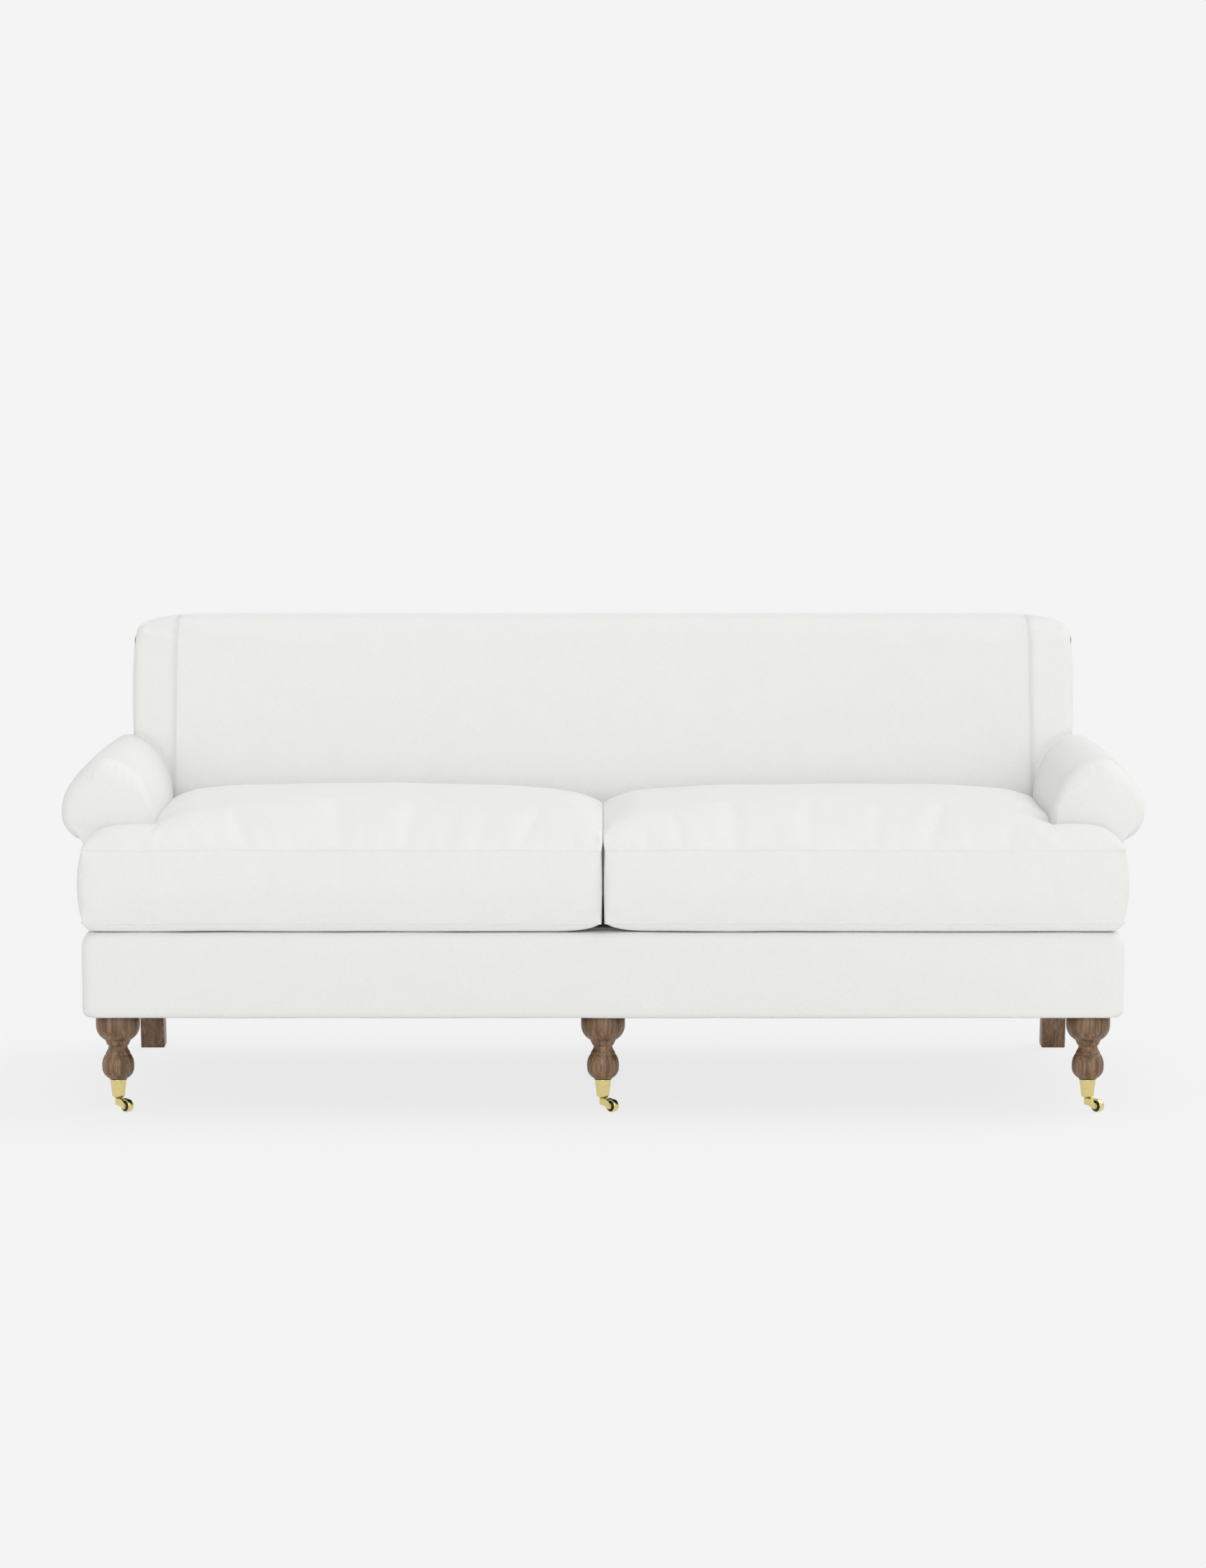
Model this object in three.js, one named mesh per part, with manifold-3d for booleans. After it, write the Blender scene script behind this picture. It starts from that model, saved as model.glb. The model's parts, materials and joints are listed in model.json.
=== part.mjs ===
// English roll arm sofa: two loose T cushions and a tight back on a sprung hardwood frame, with
// turned castor legs in front and plain raked legs behind.
// Units are millimetres, +Z is up and the front faces -Y. While the sofa is built, widths are
// counted outwards from its middle and depths back from the face of the front border.
import * as THREE from 'three';
import { mergeVertices } from 'three/addons/utils/BufferGeometryUtils.js';
import Module from 'manifold-3d';

const wasm = await Module();
wasm.setup();

// Fits and tolerances
const gap = 0.3; // clearance between pieces that touch
const runningGap = 0.4; // clearance of a turning pin in its hole
const overrun = 60; // how far a cutting tool runs past what it cuts
const weld = 0.0005; // vertices nearer than this are one

// Overall
const overallDepth = 940;
const seatHalf = 888.5; // middle of the sofa to the inside face of an arm
const armHeight = 325; // deck to the top of the arm roll
const backHeight = 564; // deck to the top of the back

// Castor
const wheelRadius = 13;
const wheelWidth = 12;
const wheelTrail = 25.5; // swivel axis to axle
const castorHeading = -Math.PI / 4; // every castor trails forwards and to the right
const tyreThickness = 2.4;
const tyreCrown = 0.8;
const coreRecess = 0.5;
const hubRadius = 4.6;
const axleRadius = 2;
const axleHeadRadius = 3.2;
const axleHeadThickness = 1.1;
const cheekThickness = 2.2;
const cheekRadius = 6;
const cheekClearance = 0.6; // between the wheel and a cheek
const bossRadius = 7;
const bossHeight = 13.4;
const bossChamfer = 0.9;
const pintleRadius = 3;
const rivetRadius = 6;
const rivetThickness = 2;
const cupClearance = 0.6; // between the horn and the cup
const cupFloor = 3.3;
const cupHeight = 36.5;
const cupTopRadius = 16.2;
const cupBaseRadius = 12.7;
const cupToeRadius = 9.4;
const cupWall = 2;
const cupLip = 0.5;
const tenonEndGap = 1.4; // between the rivet and the leg's tenon

// Turned leg
const turnedHeight = 127.1; // castor cup to the underside of the base
const capRadius = 43;
const capStraight = 20;
const capSweep = 36; // radius that the cap's curve aims at on its way down to the ledge
const ledgeRadius = 27;
const turningStep = 1.6; // small square steps between the turned members
const beadRadius = 21.8;
const neckRadius = 18.5;
const filletRadius = 24;
const bulbRadius = 32;
const bulbShoulder = 31; // radius that the bulb's underside starts from
const footRadius = 16.4; // wood just above the cup
// Heights of the members, from the cup to the underside of the base
const legShares = {
  capSweep: 0.74, ledgeSweep: 0.66, ledge: 0.62, collar: 0.58, bead: 0.545,
  neckTop: 0.52, neck: 0.505, neckFoot: 0.475, fillet: 0.41, bulbTop: 0.4,
  bulbSweep: 0.32, bulb: 0.235, bulbShoulder: 0.15, footSweep: 0.06,
};
const studRadius = 4;
const studHeight = 30;
const studClearance = 0.8;
const legInset = 66; // side of the base to the leg's axis
const legSetback = 56; // front of the base to the leg's axis

// Rear leg
const rearLegWidth = 49;
const rearLegTopDepth = 67;
const rearLegFootDepth = 58;
const rearLegRake = 50;
const rearLegInset = 40; // side of the base to the leg's outer face
const rearLegHeelRadius = 9;

// Seat frame
const dustCoverThickness = 1.2;
const railHeight = 142.6;
const frontRailThickness = 28;
const sideRailThickness = 30;
const rearRailThickness = 32;
const crossRailThickness = 25;
const crossRailHeight = 95;
const cornerBlockWidth = 100;
const cornerBlockHeight = 40;
const centreBlockWidth = 120;
const centreBlockDepth = 75;

// Springs and deck
const springRoom = 8; // rails' top to the underside of the deck
const springWire = 3.8;
const springSwing = 24; // side to side, from the spring's middle
const springCount = 8;
const springWaves = 9;
const springRise = 3; // crown of a spring between the rails
const springSide = 4; // faces round the wire
const springStepsPerWave = 5;
const deckThickness = 15;

// Front border of the base
const frontPadding = 16;
const sidePadding = 20;
const borderLip = 75; // how far it turns in over the front rail
const borderCornerRadius = 26; // upright corners
const borderTopRadius = 24;
const borderBottomRadius = 28;
const borderBottomTuck = 13;
const armSetback = 165; // front border to the front of the arm

// Back
const rearLean = 60; // how much further back the outside back is at the top than at the bottom
const backTopThickness = 220;
const backSeatThickness = 329; // the same, measured at the deck
const backCrown = 11;
const backTopFrontRadius = 62;
const backTopRearRadius = 55;
const backTopArch = 3;
const backSideRadius = 46;
const backRearTuckShare = 0.22; // how much of the side rounding shows at the rear edge
const backOverArm = 95.5; // how far the back runs out over an arm
const backSideBulge = 4;
const outsideBackThickness = 6;
const outsideBackInset = 12; // back pad's side to the panel's edge, above the arms
const outsideBackCorner = 42;
const postThickness = 40;
const postDepth = 120;
const postTopCover = 62; // padding over the posts' top
const topRailHeight = 30;
const tackRailHeight = 45;
const tackRailThickness = 28;
const tackRailLift = 42; // deck to the underside of the back tack rail
const uprightWidth = 40;

// Arm
const rollHeight = 165;
const rollWidth = 179.5; // inside face to the outermost point
const rollOverhang = 52; // how far the roll reaches out beyond the base
const rollInnerWidth = 82; // inside face to the top of the roll
const rollInnerHeight = 124;
const shoulderRadius = 85;
const scrollRadius = 65;
const facingThickness = 19.7;
const facingSideInset = 14;
const facingTopInset = 33;
const armFrontRounding = 36;
const armRearEnd = 700; // depth where the roll closes against the side of the back
const armRearRounding = 24;
const armRearInset = 18;
const armPadLift = 13; // rail top side to the pad's lower edge, below the deck's top
const stumpThickness = 30;
const armBoardThickness = 20;
const armBoardDrop = 83; // top of the roll to the top of the board
const armTackRailHeight = 30;
const panelLip = 9; // top edge of the outside arm, turned in under the back's side

// Seat cushion
const cushionParting = 3; // between the two cushions at the welts
const cushionArmGap = 11.5; // between a cushion's welt and the arm
const cushionEarSide = 2.5; // base side to the ear's welt
const cushionEarGap = 3; // ear to the front of the arm
const cushionRearGap = 7;
const boxingHeight = 144;
const boxingLift = 20; // deck to the lower welt
const cushionSwell = 8; // how far the boxing stands out between its welts
const cushionCrown = 93;
const crownReach = 114; // how quickly the crown rises from an edge
const crownCrowding = 45; // how far the crown is already up where a side is pressed against a neighbour
const undersideReach = 16;
const cushionCorner = 7;

// Heights that follow
const axleHeight = wheelRadius;
const bossTop = axleHeight + bossHeight;
const cupBottom = bossTop + cupClearance;
const cupTop = cupBottom + cupHeight;
const baseBottom = cupTop + turnedHeight;
const railBottom = baseBottom + dustCoverThickness + gap + gap;
const railTop = railBottom + railHeight;
const deckBottom = railTop + springRoom;
const deckTop = deckBottom + deckThickness;
const rollTop = deckTop + armHeight;
const rollBottom = rollTop - rollHeight;
const scrollHeight = rollBottom + scrollRadius;
const boardTop = rollTop - armBoardDrop;
const boardBottom = boardTop - armBoardThickness;
const backTop = deckTop + backHeight;
const postTop = backTop - postTopCover;
const lowerWelt = deckTop + boxingLift;
const upperWelt = lowerWelt + boxingHeight;
const padBottom = deckTop - armPadLift;

// Widths that follow
const armHalf = seatHalf + rollWidth;
const backHalf = seatHalf + backOverArm;
const baseHalf = armHalf - rollOverhang;
const railHalf = baseHalf - sidePadding;
const railInner = railHalf - sideRailThickness;
const postOuter = railInner - gap;
const postInner = postOuter - postThickness;
const legX = baseHalf - legInset;

// Depths that follow
const rearReach = overallDepth - cushionSwell;
const seatDepth = rearReach - backSeatThickness;
const rearCornerHeight = backTop - backTopRearRadius;
const frontRailRear = frontPadding + frontRailThickness;
const cushionRear = seatDepth - cushionRearGap;
const earRear = armSetback - cushionEarGap;

function outsideBackDepth(z) {
  const share = (rearCornerHeight - z) / (rearCornerHeight - baseBottom);
  return rearReach - rearLean * share;
}

function postRear(z) {
  return outsideBackDepth(z) - outsideBackThickness - gap;
}

function postFront(z) {
  return postRear(z) - postDepth;
}

// Materials
const oak = new THREE.MeshStandardMaterial({ color: 0xb08a5e, roughness: 0.8 });
const walnut = new THREE.MeshStandardMaterial({ color: 0x5e432d, roughness: 0.45 });
const brass = new THREE.MeshStandardMaterial({ color: 0xc7b572, roughness: 0.25, metalness: 1 });
const blackCore = new THREE.MeshStandardMaterial({ color: 0x0c0c0c, roughness: 0.5 });
const linen = new THREE.MeshStandardMaterial({ color: 0xebece8, roughness: 0.9 });
const deckCloth = new THREE.MeshStandardMaterial({ color: 0xd9d6cd, roughness: 0.95 });
const dustCloth = new THREE.MeshStandardMaterial({ color: 0x1d1d1d, roughness: 0.95 });
const springSteel = new THREE.MeshStandardMaterial({ color: 0x6f7275, roughness: 0.4, metalness: 1 });

const sofa = new THREE.Group();
sofa.position.y = cushionSwell - overallDepth / 2;

// Mesh helpers

// A closed surface from points and triangles, turned so that its faces point outwards
function closedSurface(points, triangles) {
  const normal = new THREE.Vector3();
  let volume = 0;
  for (const [a, b, c] of triangles) {
    volume += points[a].dot(normal.crossVectors(points[b], points[c]));
  }
  const order = volume < 0 ? ([a, b, c]) => [a, c, b] : (corners) => corners;
  const geometry = new THREE.BufferGeometry().setFromPoints(points);
  geometry.setIndex(triangles.flatMap(order));
  return geometry;
}

// The same surface with shared vertices and no collapsed triangles
function welded(geometry) {
  const bare = new THREE.BufferGeometry();
  bare.setAttribute('position', geometry.getAttribute('position').clone());
  bare.setIndex(geometry.index);
  const merged = mergeVertices(bare, weld);
  const corners = [...merged.index.array];
  const kept = [];
  for (let i = 0; i < corners.length; i += 3) {
    const [a, b, c] = corners.slice(i, i + 3);
    if (a !== b && b !== c && c !== a) kept.push(a, b, c);
  }
  merged.setIndex(kept);
  return merged;
}

function solid(geometry) {
  const merged = welded(geometry);
  return new wasm.Manifold(new wasm.Mesh({
    numProp: 3,
    vertProperties: new Float32Array(merged.getAttribute('position').array),
    triVerts: new Uint32Array(merged.index.array),
  }));
}

function surface(manifold) {
  const { vertProperties, triVerts } = manifold.getMesh();
  const geometry = new THREE.BufferGeometry();
  geometry.setAttribute('position', new THREE.BufferAttribute(vertProperties, 3));
  geometry.setIndex(new THREE.BufferAttribute(triVerts, 1));
  return geometry;
}

function cut(body, ...tools) {
  return surface(tools.reduce((left, tool) => left.subtract(solid(tool)), solid(body)));
}

function join(body, ...others) {
  return surface(others.reduce((sum, other) => sum.add(solid(other)), solid(body)));
}

function mirrored(geometry) {
  const copy = welded(geometry).scale(-1, 1, 1);
  const corners = [...copy.index.array];
  for (let i = 0; i < corners.length; i += 3) {
    [corners[i], corners[i + 1]] = [corners[i + 1], corners[i]];
  }
  copy.setIndex(corners);
  return copy;
}

function addPiece(name, geometry, material, group = sofa) {
  const mesh = new THREE.Mesh(geometry, material);
  mesh.name = name;
  group.add(mesh);
}

// A piece drawn for the right-hand side, with its mirror image on the left
function addPair(name, geometry, material) {
  addPiece(`right_${name}`, geometry, material);
  addPiece(`left_${name}`, mirrored(geometry), material);
}

function block([x0, x1], [y0, y1], [z0, z1]) {
  const geometry = new THREE.BoxGeometry(x1 - x0, y1 - y0, z1 - z0);
  return geometry.translate((x0 + x1) / 2, (y0 + y1) / 2, (z0 + z1) / 2);
}

function extruded(outline, depth) {
  const shape = new THREE.Shape(outline.map(([u, v]) => new THREE.Vector2(u, v)));
  return new THREE.ExtrudeGeometry(shape, { depth, bevelEnabled: false });
}

const acrossBasis = new THREE.Matrix4().makeBasis(
  new THREE.Vector3(0, 1, 0), new THREE.Vector3(0, 0, 1), new THREE.Vector3(1, 0, 0));
const backwardsBasis = new THREE.Matrix4().makeBasis(
  new THREE.Vector3(1, 0, 0), new THREE.Vector3(0, 0, 1), new THREE.Vector3(0, -1, 0));

// An outline drawn in width and depth, pushed up from one height to another
function upwards(outline, [z0, z1]) {
  return extruded(outline, z1 - z0).translate(0, 0, z0);
}

// An outline drawn in depth and height, pushed across from one width to another
function across(outline, [x0, x1]) {
  return extruded(outline, x1 - x0).applyMatrix4(acrossBasis).translate(x0, 0, 0);
}

// An outline drawn in width and height, pushed back from one depth to another
function backwards(outline, [y0, y1]) {
  return extruded(outline, y1 - y0).applyMatrix4(backwardsBasis).translate(0, y1, 0);
}

function turned(profile, sides) {
  return new THREE.LatheGeometry(profile, sides).rotateX(Math.PI / 2);
}

function post(x, y, radius, [z0, z1], sides) {
  const geometry = new THREE.CylinderGeometry(radius, radius, z1 - z0, sides);
  return geometry.rotateX(Math.PI / 2).translate(x, y, (z0 + z1) / 2);
}

// Points on an elliptical arc, from one angle to another in degrees
function arc(u, v, radiusU, radiusV, from, to, steps) {
  return Array.from({ length: steps + 1 }, (_, i) => {
    const angle = THREE.MathUtils.degToRad(from + ((to - from) * i) / steps);
    return [u + radiusU * Math.cos(angle), v + radiusV * Math.sin(angle)];
  });
}

// Two triangles for each side of a band between two rings of vertex numbers
function band(lower, upper) {
  return lower.flatMap((a, i) => {
    const next = (i + 1) % lower.length;
    return [[a, lower[next], upper[next]], [a, upper[next], upper[i]]];
  });
}

// A closed body through a row of rings with equal numbers of points, capped at both ends.
// The two axes are those in which a ring's outline is seen.
function loft(rings, [axisU, axisV]) {
  const count = rings[0].length;
  const numbers = rings.map((ring, r) => ring.map((_, i) => r * count + i));
  const triangles = numbers.slice(1).flatMap((upper, r) => band(numbers[r], upper));
  const flat = (ring) => ring.map((p) => new THREE.Vector2(p[axisU], p[axisV]));
  const cap = (ring, ids) => {
    const outline = flat(ring);
    const turn = Math.sign(THREE.ShapeUtils.area(outline));
    return THREE.ShapeUtils.triangulateShape(outline, []).map((face) => {
      const same = Math.sign(THREE.ShapeUtils.area(face.map((i) => outline[i]))) === turn;
      const [a, b, c] = same ? face : [face[0], face[2], face[1]];
      return [ids[a], ids[b], ids[c]];
    });
  };
  const last = rings.length - 1;
  const start = cap(rings[0], numbers[0]).map(([a, b, c]) => [a, c, b]);
  const end = cap(rings[last], numbers[last]);
  return closedSurface(rings.flat(), [...triangles, ...start, ...end]);
}

// Hardwood frame
function addFrame() {
  const rails = [railBottom, railTop];
  const sideRailRear = postRear(railBottom);
  const rearRailFront = postFront(railTop) + (postDepth - rearRailThickness) / 2;
  const rearRail = [rearRailFront, rearRailFront + rearRailThickness];
  addPiece('front_seat_rail', block([-railHalf, railHalf], [frontPadding, frontRailRear], rails), oak);
  addPair('seat_rail', block([railInner, railHalf], [frontRailRear + gap, sideRailRear], rails), oak);
  addPiece('rear_seat_rail', block([gap - postInner, postInner - gap], rearRail, rails), oak);

  const crossRailX = postInner / 3;
  const crossWidth = [crossRailX - crossRailThickness / 2, crossRailX + crossRailThickness / 2];
  const crossDepth = [frontRailRear + gap, rearRail[0] - gap];
  addPair('cross_rail', block(crossWidth, crossDepth, [railBottom, railBottom + crossRailHeight]), oak);

  const studHole = [railBottom - overrun, baseBottom + studHeight + gap + gap];
  const studSpace = (x, y) => post(x, y, studRadius + studClearance, studHole, 8);
  const blockHeight = [railBottom, railBottom + cornerBlockHeight];
  const cornerBlock = upwards([
    [postOuter, frontRailRear + gap],
    [postOuter, frontRailRear + gap + cornerBlockWidth],
    [postOuter - cornerBlockWidth, frontRailRear + gap],
  ], blockHeight);
  addPair('corner_block', cut(cornerBlock, studSpace(legX, legSetback)), oak);
  const centreBlock = block([-centreBlockWidth / 2, centreBlockWidth / 2],
    [frontRailRear + gap, frontRailRear + gap + centreBlockDepth], blockHeight);
  addPiece('centre_leg_block', cut(centreBlock, studSpace(0, legSetback)), oak);

  // Raked back posts, with a filler outside each that carries the outside arm panel
  const raked = (bottom, top, front, rear) => [
    [front(bottom), bottom], [rear(bottom), bottom], [rear(top), top], [front(top), top],
  ];
  const postBody = across(raked(railBottom, postTop, postFront, postRear), [postInner, postOuter]);
  const fillerLow = railTop + gap;
  const fillerTop = rollBottom - gap - panelLip - gap;
  const filler = across(raked(fillerLow, fillerTop, postFront, postRear), [postOuter - gap, railHalf]);
  addPair('back_post', cut(join(postBody, filler), studSpace(rearLegX(), rearLegStudDepth())), oak);

  const between = [gap - postInner, postInner - gap];
  const topRailBottom = postTop - topRailHeight;
  addPiece('back_top_rail', across(raked(topRailBottom, postTop, postFront, postRear), between), oak);
  const tackBottom = deckTop + tackRailLift;
  const tackTop = tackBottom + tackRailHeight;
  const tackRear = (z) => postFront(z) + tackRailThickness;
  addPiece('back_tack_rail', across(raked(tackBottom, tackTop, postFront, tackRear), between), oak);
  const uprightFront = (z) => tackRear(z) + gap;
  const upright = raked(railTop + gap, topRailBottom - gap, uprightFront, postRear);
  addPiece('back_centre_upright', across(upright, [-uprightWidth / 2, uprightWidth / 2]), oak);

  // Arm stumps lap inside the side rails and widen above them
  const stumpFront = armSetback + facingThickness + gap;
  const stumpRear = stumpFront + stumpThickness;
  addPair('arm_stump', backwards([
    [postInner, railBottom], [postOuter, railBottom], [postOuter, railTop + gap],
    [railHalf, railTop + gap], [railHalf, boardBottom - gap], [postInner, boardBottom - gap],
  ], [stumpFront, stumpRear]), oak);
  const shoulder = Math.min(backFace(boardBottom, 0), backFace(boardTop, 0)) - gap;
  addPair('arm_board', upwards([
    [postInner, stumpFront], [railHalf, stumpFront], [railHalf, shoulder - railHalf + postOuter],
    [postOuter, shoulder], [postOuter, postFront(boardBottom) - gap],
    [postInner, postFront(boardBottom) - gap],
  ], [boardBottom, boardTop]), oak);
  addPair('arm_tack_rail', block([postInner, postOuter], [stumpRear + gap, postFront(padBottom) - gap],
    [padBottom, padBottom + armTackRailHeight]), oak);
}

function rearLegX() {
  return baseHalf - rearLegInset - rearLegWidth / 2;
}

function rearLegTopFront() {
  return postRear(baseBottom) - rearLegTopDepth;
}

function rearLegStudDepth() {
  return rearLegTopFront() + rearLegTopDepth / 2;
}

// Zigzag springs from the front rail to the rear rail
class SpringLine extends THREE.Curve {
  constructor(x, front, rear, low) {
    super();
    Object.assign(this, { x, front, rear, low });
  }

  getPoint(t, target = new THREE.Vector3()) {
    const swing = springSwing * Math.sin(2 * Math.PI * springWaves * t);
    const rise = springRise * Math.sin(Math.PI * t);
    return target.set(this.x + swing, THREE.MathUtils.lerp(this.front, this.rear, t), this.low + rise);
  }
}

function addSprings() {
  const front = frontPadding + frontRailThickness / 2;
  const rear = postFront(railTop) + postDepth / 2;
  const low = railTop + gap + springWire / 2;
  const section = new THREE.Shape(arc(0, 0, springWire / 2, springWire / 2, 0, 360 - 360 / springSide,
    springSide - 1).map(([u, v]) => new THREE.Vector2(u, v)));
  const spacing = (2 * seatHalf) / springCount;
  for (let i = 0; i < springCount; i++) {
    const x = spacing * (i + 0.5 - springCount / 2);
    const line = new SpringLine(x, front, rear, low);
    const steps = springWaves * springStepsPerWave;
    const wire = new THREE.ExtrudeGeometry(section, { steps, extrudePath: line, bevelEnabled: false });
    addPiece(`seat_spring_${i + 1}`, wire, springSteel);
  }
}

// Front border: the padded face of the base, which turns the corners as far as the arms
function borderRing(z, insetX, insetY) {
  const radius = borderCornerRadius;
  const x = baseHalf - insetX - radius;
  const y = insetY + radius;
  const rear = armSetback - gap;
  const left = arc(-x, y, radius, radius, 180, 270, 4);
  const right = arc(x, y, radius, radius, 270, 360, 4);
  const outline = [[-x - radius, rear], ...left, ...right, [x + radius, rear]];
  return outline.map(([u, v]) => new THREE.Vector3(u, v, z));
}

function addBorder() {
  const bottom = arc(0, 0, 1, 1, 0, 90, 4).map(([out, up]) => borderRing(
    baseBottom + borderBottomRadius * (1 - out),
    borderBottomRadius * (1 - up), borderBottomTuck * (1 - up)));
  const top = arc(0, 0, 1, 1, 0, 90, 4).map(([out, up]) => borderRing(
    deckTop - borderTopRadius * (1 - up),
    borderTopRadius * (1 - out), borderTopRadius * (1 - out)));
  const outer = loft([...bottom, ...top], ['x', 'y']);
  const inside = [-railHalf - gap, railHalf + gap];
  const behind = armSetback + overrun;
  const hollow = block(inside, [frontPadding - gap, behind], [baseBottom - overrun, deckBottom]);
  const well = block(inside, [borderLip, behind], [deckBottom - overrun, deckTop + overrun]);
  addPiece('front_border', cut(outer, hollow, well), linen);
}

function addDeckAndCovers() {
  const inner = seatHalf - gap;
  const wing = railHalf;
  const front = borderLip + gap;
  const wingRear = armSetback - gap;
  const rear = seatDepth - gap;
  addPiece('seat_deck', upwards([
    [-wing, front], [wing, front], [wing, wingRear], [inner, wingRear],
    [inner, rear], [-inner, rear], [-inner, wingRear], [-wing, wingRear],
  ], [deckBottom, deckTop]), deckCloth);

  const coverHeight = [baseBottom + gap, baseBottom + gap + dustCoverThickness];
  const holeHeight = [baseBottom - overrun, baseBottom + overrun];
  const coverRear = postRear(baseBottom) - gap;
  const sheet = block([-railHalf, railHalf], [frontPadding, coverRear], coverHeight);
  const clearance = studRadius + studClearance;
  const studs = [[-legX, legSetback], [0, legSetback], [legX, legSetback],
    [-rearLegX(), rearLegStudDepth()], [rearLegX(), rearLegStudDepth()]];
  const holes = studs.map(([x, y]) => post(x, y, clearance, holeHeight, 8));
  addPiece('dust_cover', cut(sheet, ...holes), dustCloth);
}

// Outside arm: padded panel from the base's lower edge to the underside of the roll
function addOutsideArms() {
  const inner = railHalf + gap;
  const centre = baseHalf - borderBottomRadius;
  const startAngle = THREE.MathUtils.radToDeg(Math.acos((inner - centre) / borderBottomRadius));
  const bottomHeight = baseBottom + borderBottomRadius;
  const bottom = arc(centre, bottomHeight, borderBottomRadius, borderBottomRadius, -startAngle, 0, 4);
  const edge = sidePadding / 2;
  const top = rollBottom - gap;
  const outline = [...bottom, ...arc(baseHalf - edge, top - edge, edge, edge, 0, 90, 3), [inner, top]];
  const ring = (points, depthAt) => points.map(([x, z]) => new THREE.Vector3(x, depthAt(z), z));
  const panel = loft([ring(outline, () => armSetback), ring(outline, postRear)], ['x', 'z']);
  const lipInner = postOuter + gap;
  const lipOuter = inner + gap;
  const lipOutline = [
    [lipInner, top - panelLip], [lipOuter, top - panelLip], [lipOuter, top], [lipInner, top],
  ];
  const lipFront = armRearEnd - armRearRounding;
  const lip = loft([ring(lipOutline, () => lipFront), ring(lipOutline, postRear)], ['x', 'z']);
  addPair('outside_arm', join(panel, lip), linen);
}

// Room for the tongue of the arm board, which runs through the padding to the back post
function boardTongueSpace() {
  const front = armSetback + facingThickness;
  return block([postInner - gap, postOuter + gap], [front, postFront(boardBottom) + overrun],
    [boardBottom - gap, boardTop + gap]);
}

// Arm: roll, inside arm and front facing in one pad
function armOutline() {
  const innerTop = [seatHalf + rollInnerWidth, rollTop - rollInnerHeight];
  const inside = arc(...innerTop, rollInnerWidth, rollInnerHeight, 180, 90, 6);
  const shoulder = arc(armHalf - shoulderRadius, scrollHeight, shoulderRadius, shoulderRadius, 45, 0, 3);
  const [tangentX, tangentZ] = shoulder[0];
  const slope = new THREE.QuadraticBezierCurve(
    new THREE.Vector2(innerTop[0], rollTop),
    new THREE.Vector2(tangentX + tangentZ - rollTop, rollTop),
    new THREE.Vector2(tangentX, tangentZ));
  const scrollCentre = armHalf - scrollRadius;
  const lastAngle = THREE.MathUtils.radToDeg(Math.acos((railHalf - scrollCentre) / scrollRadius));
  const scroll = arc(scrollCentre, scrollHeight, scrollRadius, scrollRadius, 0, -lastAngle, 6);
  return [
    [seatHalf, padBottom],
    ...inside,
    ...slope.getPoints(4).slice(1, -1).map((p) => [p.x, p.y]),
    ...shoulder,
    ...scroll.slice(1),
    [railHalf, padBottom],
  ];
}

function armRing(depth, sideInset, topInset) {
  const centreX = seatHalf + rollWidth / 2;
  const centreZ = scrollHeight;
  return armOutline().map(([x, z]) => {
    const sideShare = x > railHalf || x < centreX ? (x - centreX) / (rollWidth / 2) : 0;
    const topShare = z > centreZ ? (z - centreZ) / (rollTop - centreZ) : 0;
    return new THREE.Vector3(x - sideInset * sideShare, depth, z - topInset * topShare);
  });
}

function addArms() {
  const quarter = arc(0, 0, 1, 1, 0, 90, 4);
  const frontRings = quarter.map(([out, up]) => armRing(
    armSetback + armFrontRounding * (1 - out), facingSideInset * (1 - up), facingTopInset * (1 - up)));
  const rearRings = quarter.map(([out, up]) => armRing(
    armRearEnd - armRearRounding * (1 - up), armRearInset * (1 - out), armRearInset * (1 - out)));
  const pad = loft([...frontRings, ...rearRings], ['x', 'z']);
  const front = armSetback + facingThickness;
  const widths = [postInner - gap, railHalf + gap];
  const panelSpace = block(widths, [front, armRearEnd + overrun], [padBottom - overrun, rollBottom]);
  const boardRear = Math.max(backFace(boardBottom, 0), backFace(boardTop, 0));
  const boardSpace = block(widths, [front, boardRear], [padBottom, boardTop + gap]);
  addPair('arm_pad', cut(pad, panelSpace, boardSpace, boardTongueSpace(), backAboveArms(gap)), linen);
}

// Back pad: one tight upholstered block over the back frame
function backFace(z, inset) {
  const share = (z - padBottom) / (backTop - backTopFrontRadius - padBottom);
  const top = rearReach - backTopThickness;
  return THREE.MathUtils.lerp(seatDepth, top, share) - backCrown * Math.sin(Math.PI * share) + inset;
}

function backProfile(inset) {
  const faceTop = backTop - backTopFrontRadius;
  const faceSteps = 6;
  const face = Array.from({ length: faceSteps + 1 }, (_, i) => {
    const z = THREE.MathUtils.lerp(padBottom, faceTop, i / faceSteps);
    return [backFace(z, inset), z - inset * (i / faceSteps)];
  });
  const frontCentre = backFace(faceTop, 0) + backTopFrontRadius;
  const frontRadius = backTopFrontRadius - inset;
  const frontArc = arc(frontCentre, faceTop, frontRadius, frontRadius, 180, 90, 5);
  const rearInset = inset * backRearTuckShare;
  const rearDepth = (z) => outsideBackDepth(z) - outsideBackThickness - gap - rearInset;
  const rearCentre = rearDepth(rearCornerHeight) - backTopRearRadius;
  const rearArc = arc(rearCentre, rearCornerHeight, backTopRearRadius, backTopRearRadius - inset, 90, 0, 4);
  const middle = [(frontCentre + rearCentre) / 2, backTop + backTopArch - inset];
  const low = frontArc[0][1] - face[faceSteps][1];
  return [
    ...face.slice(0, -1),
    ...frontArc.map(([y, z], i) => [y, i === 0 ? z - low : z]),
    middle,
    ...rearArc,
    [rearDepth(padBottom), padBottom],
  ];
}

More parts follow.
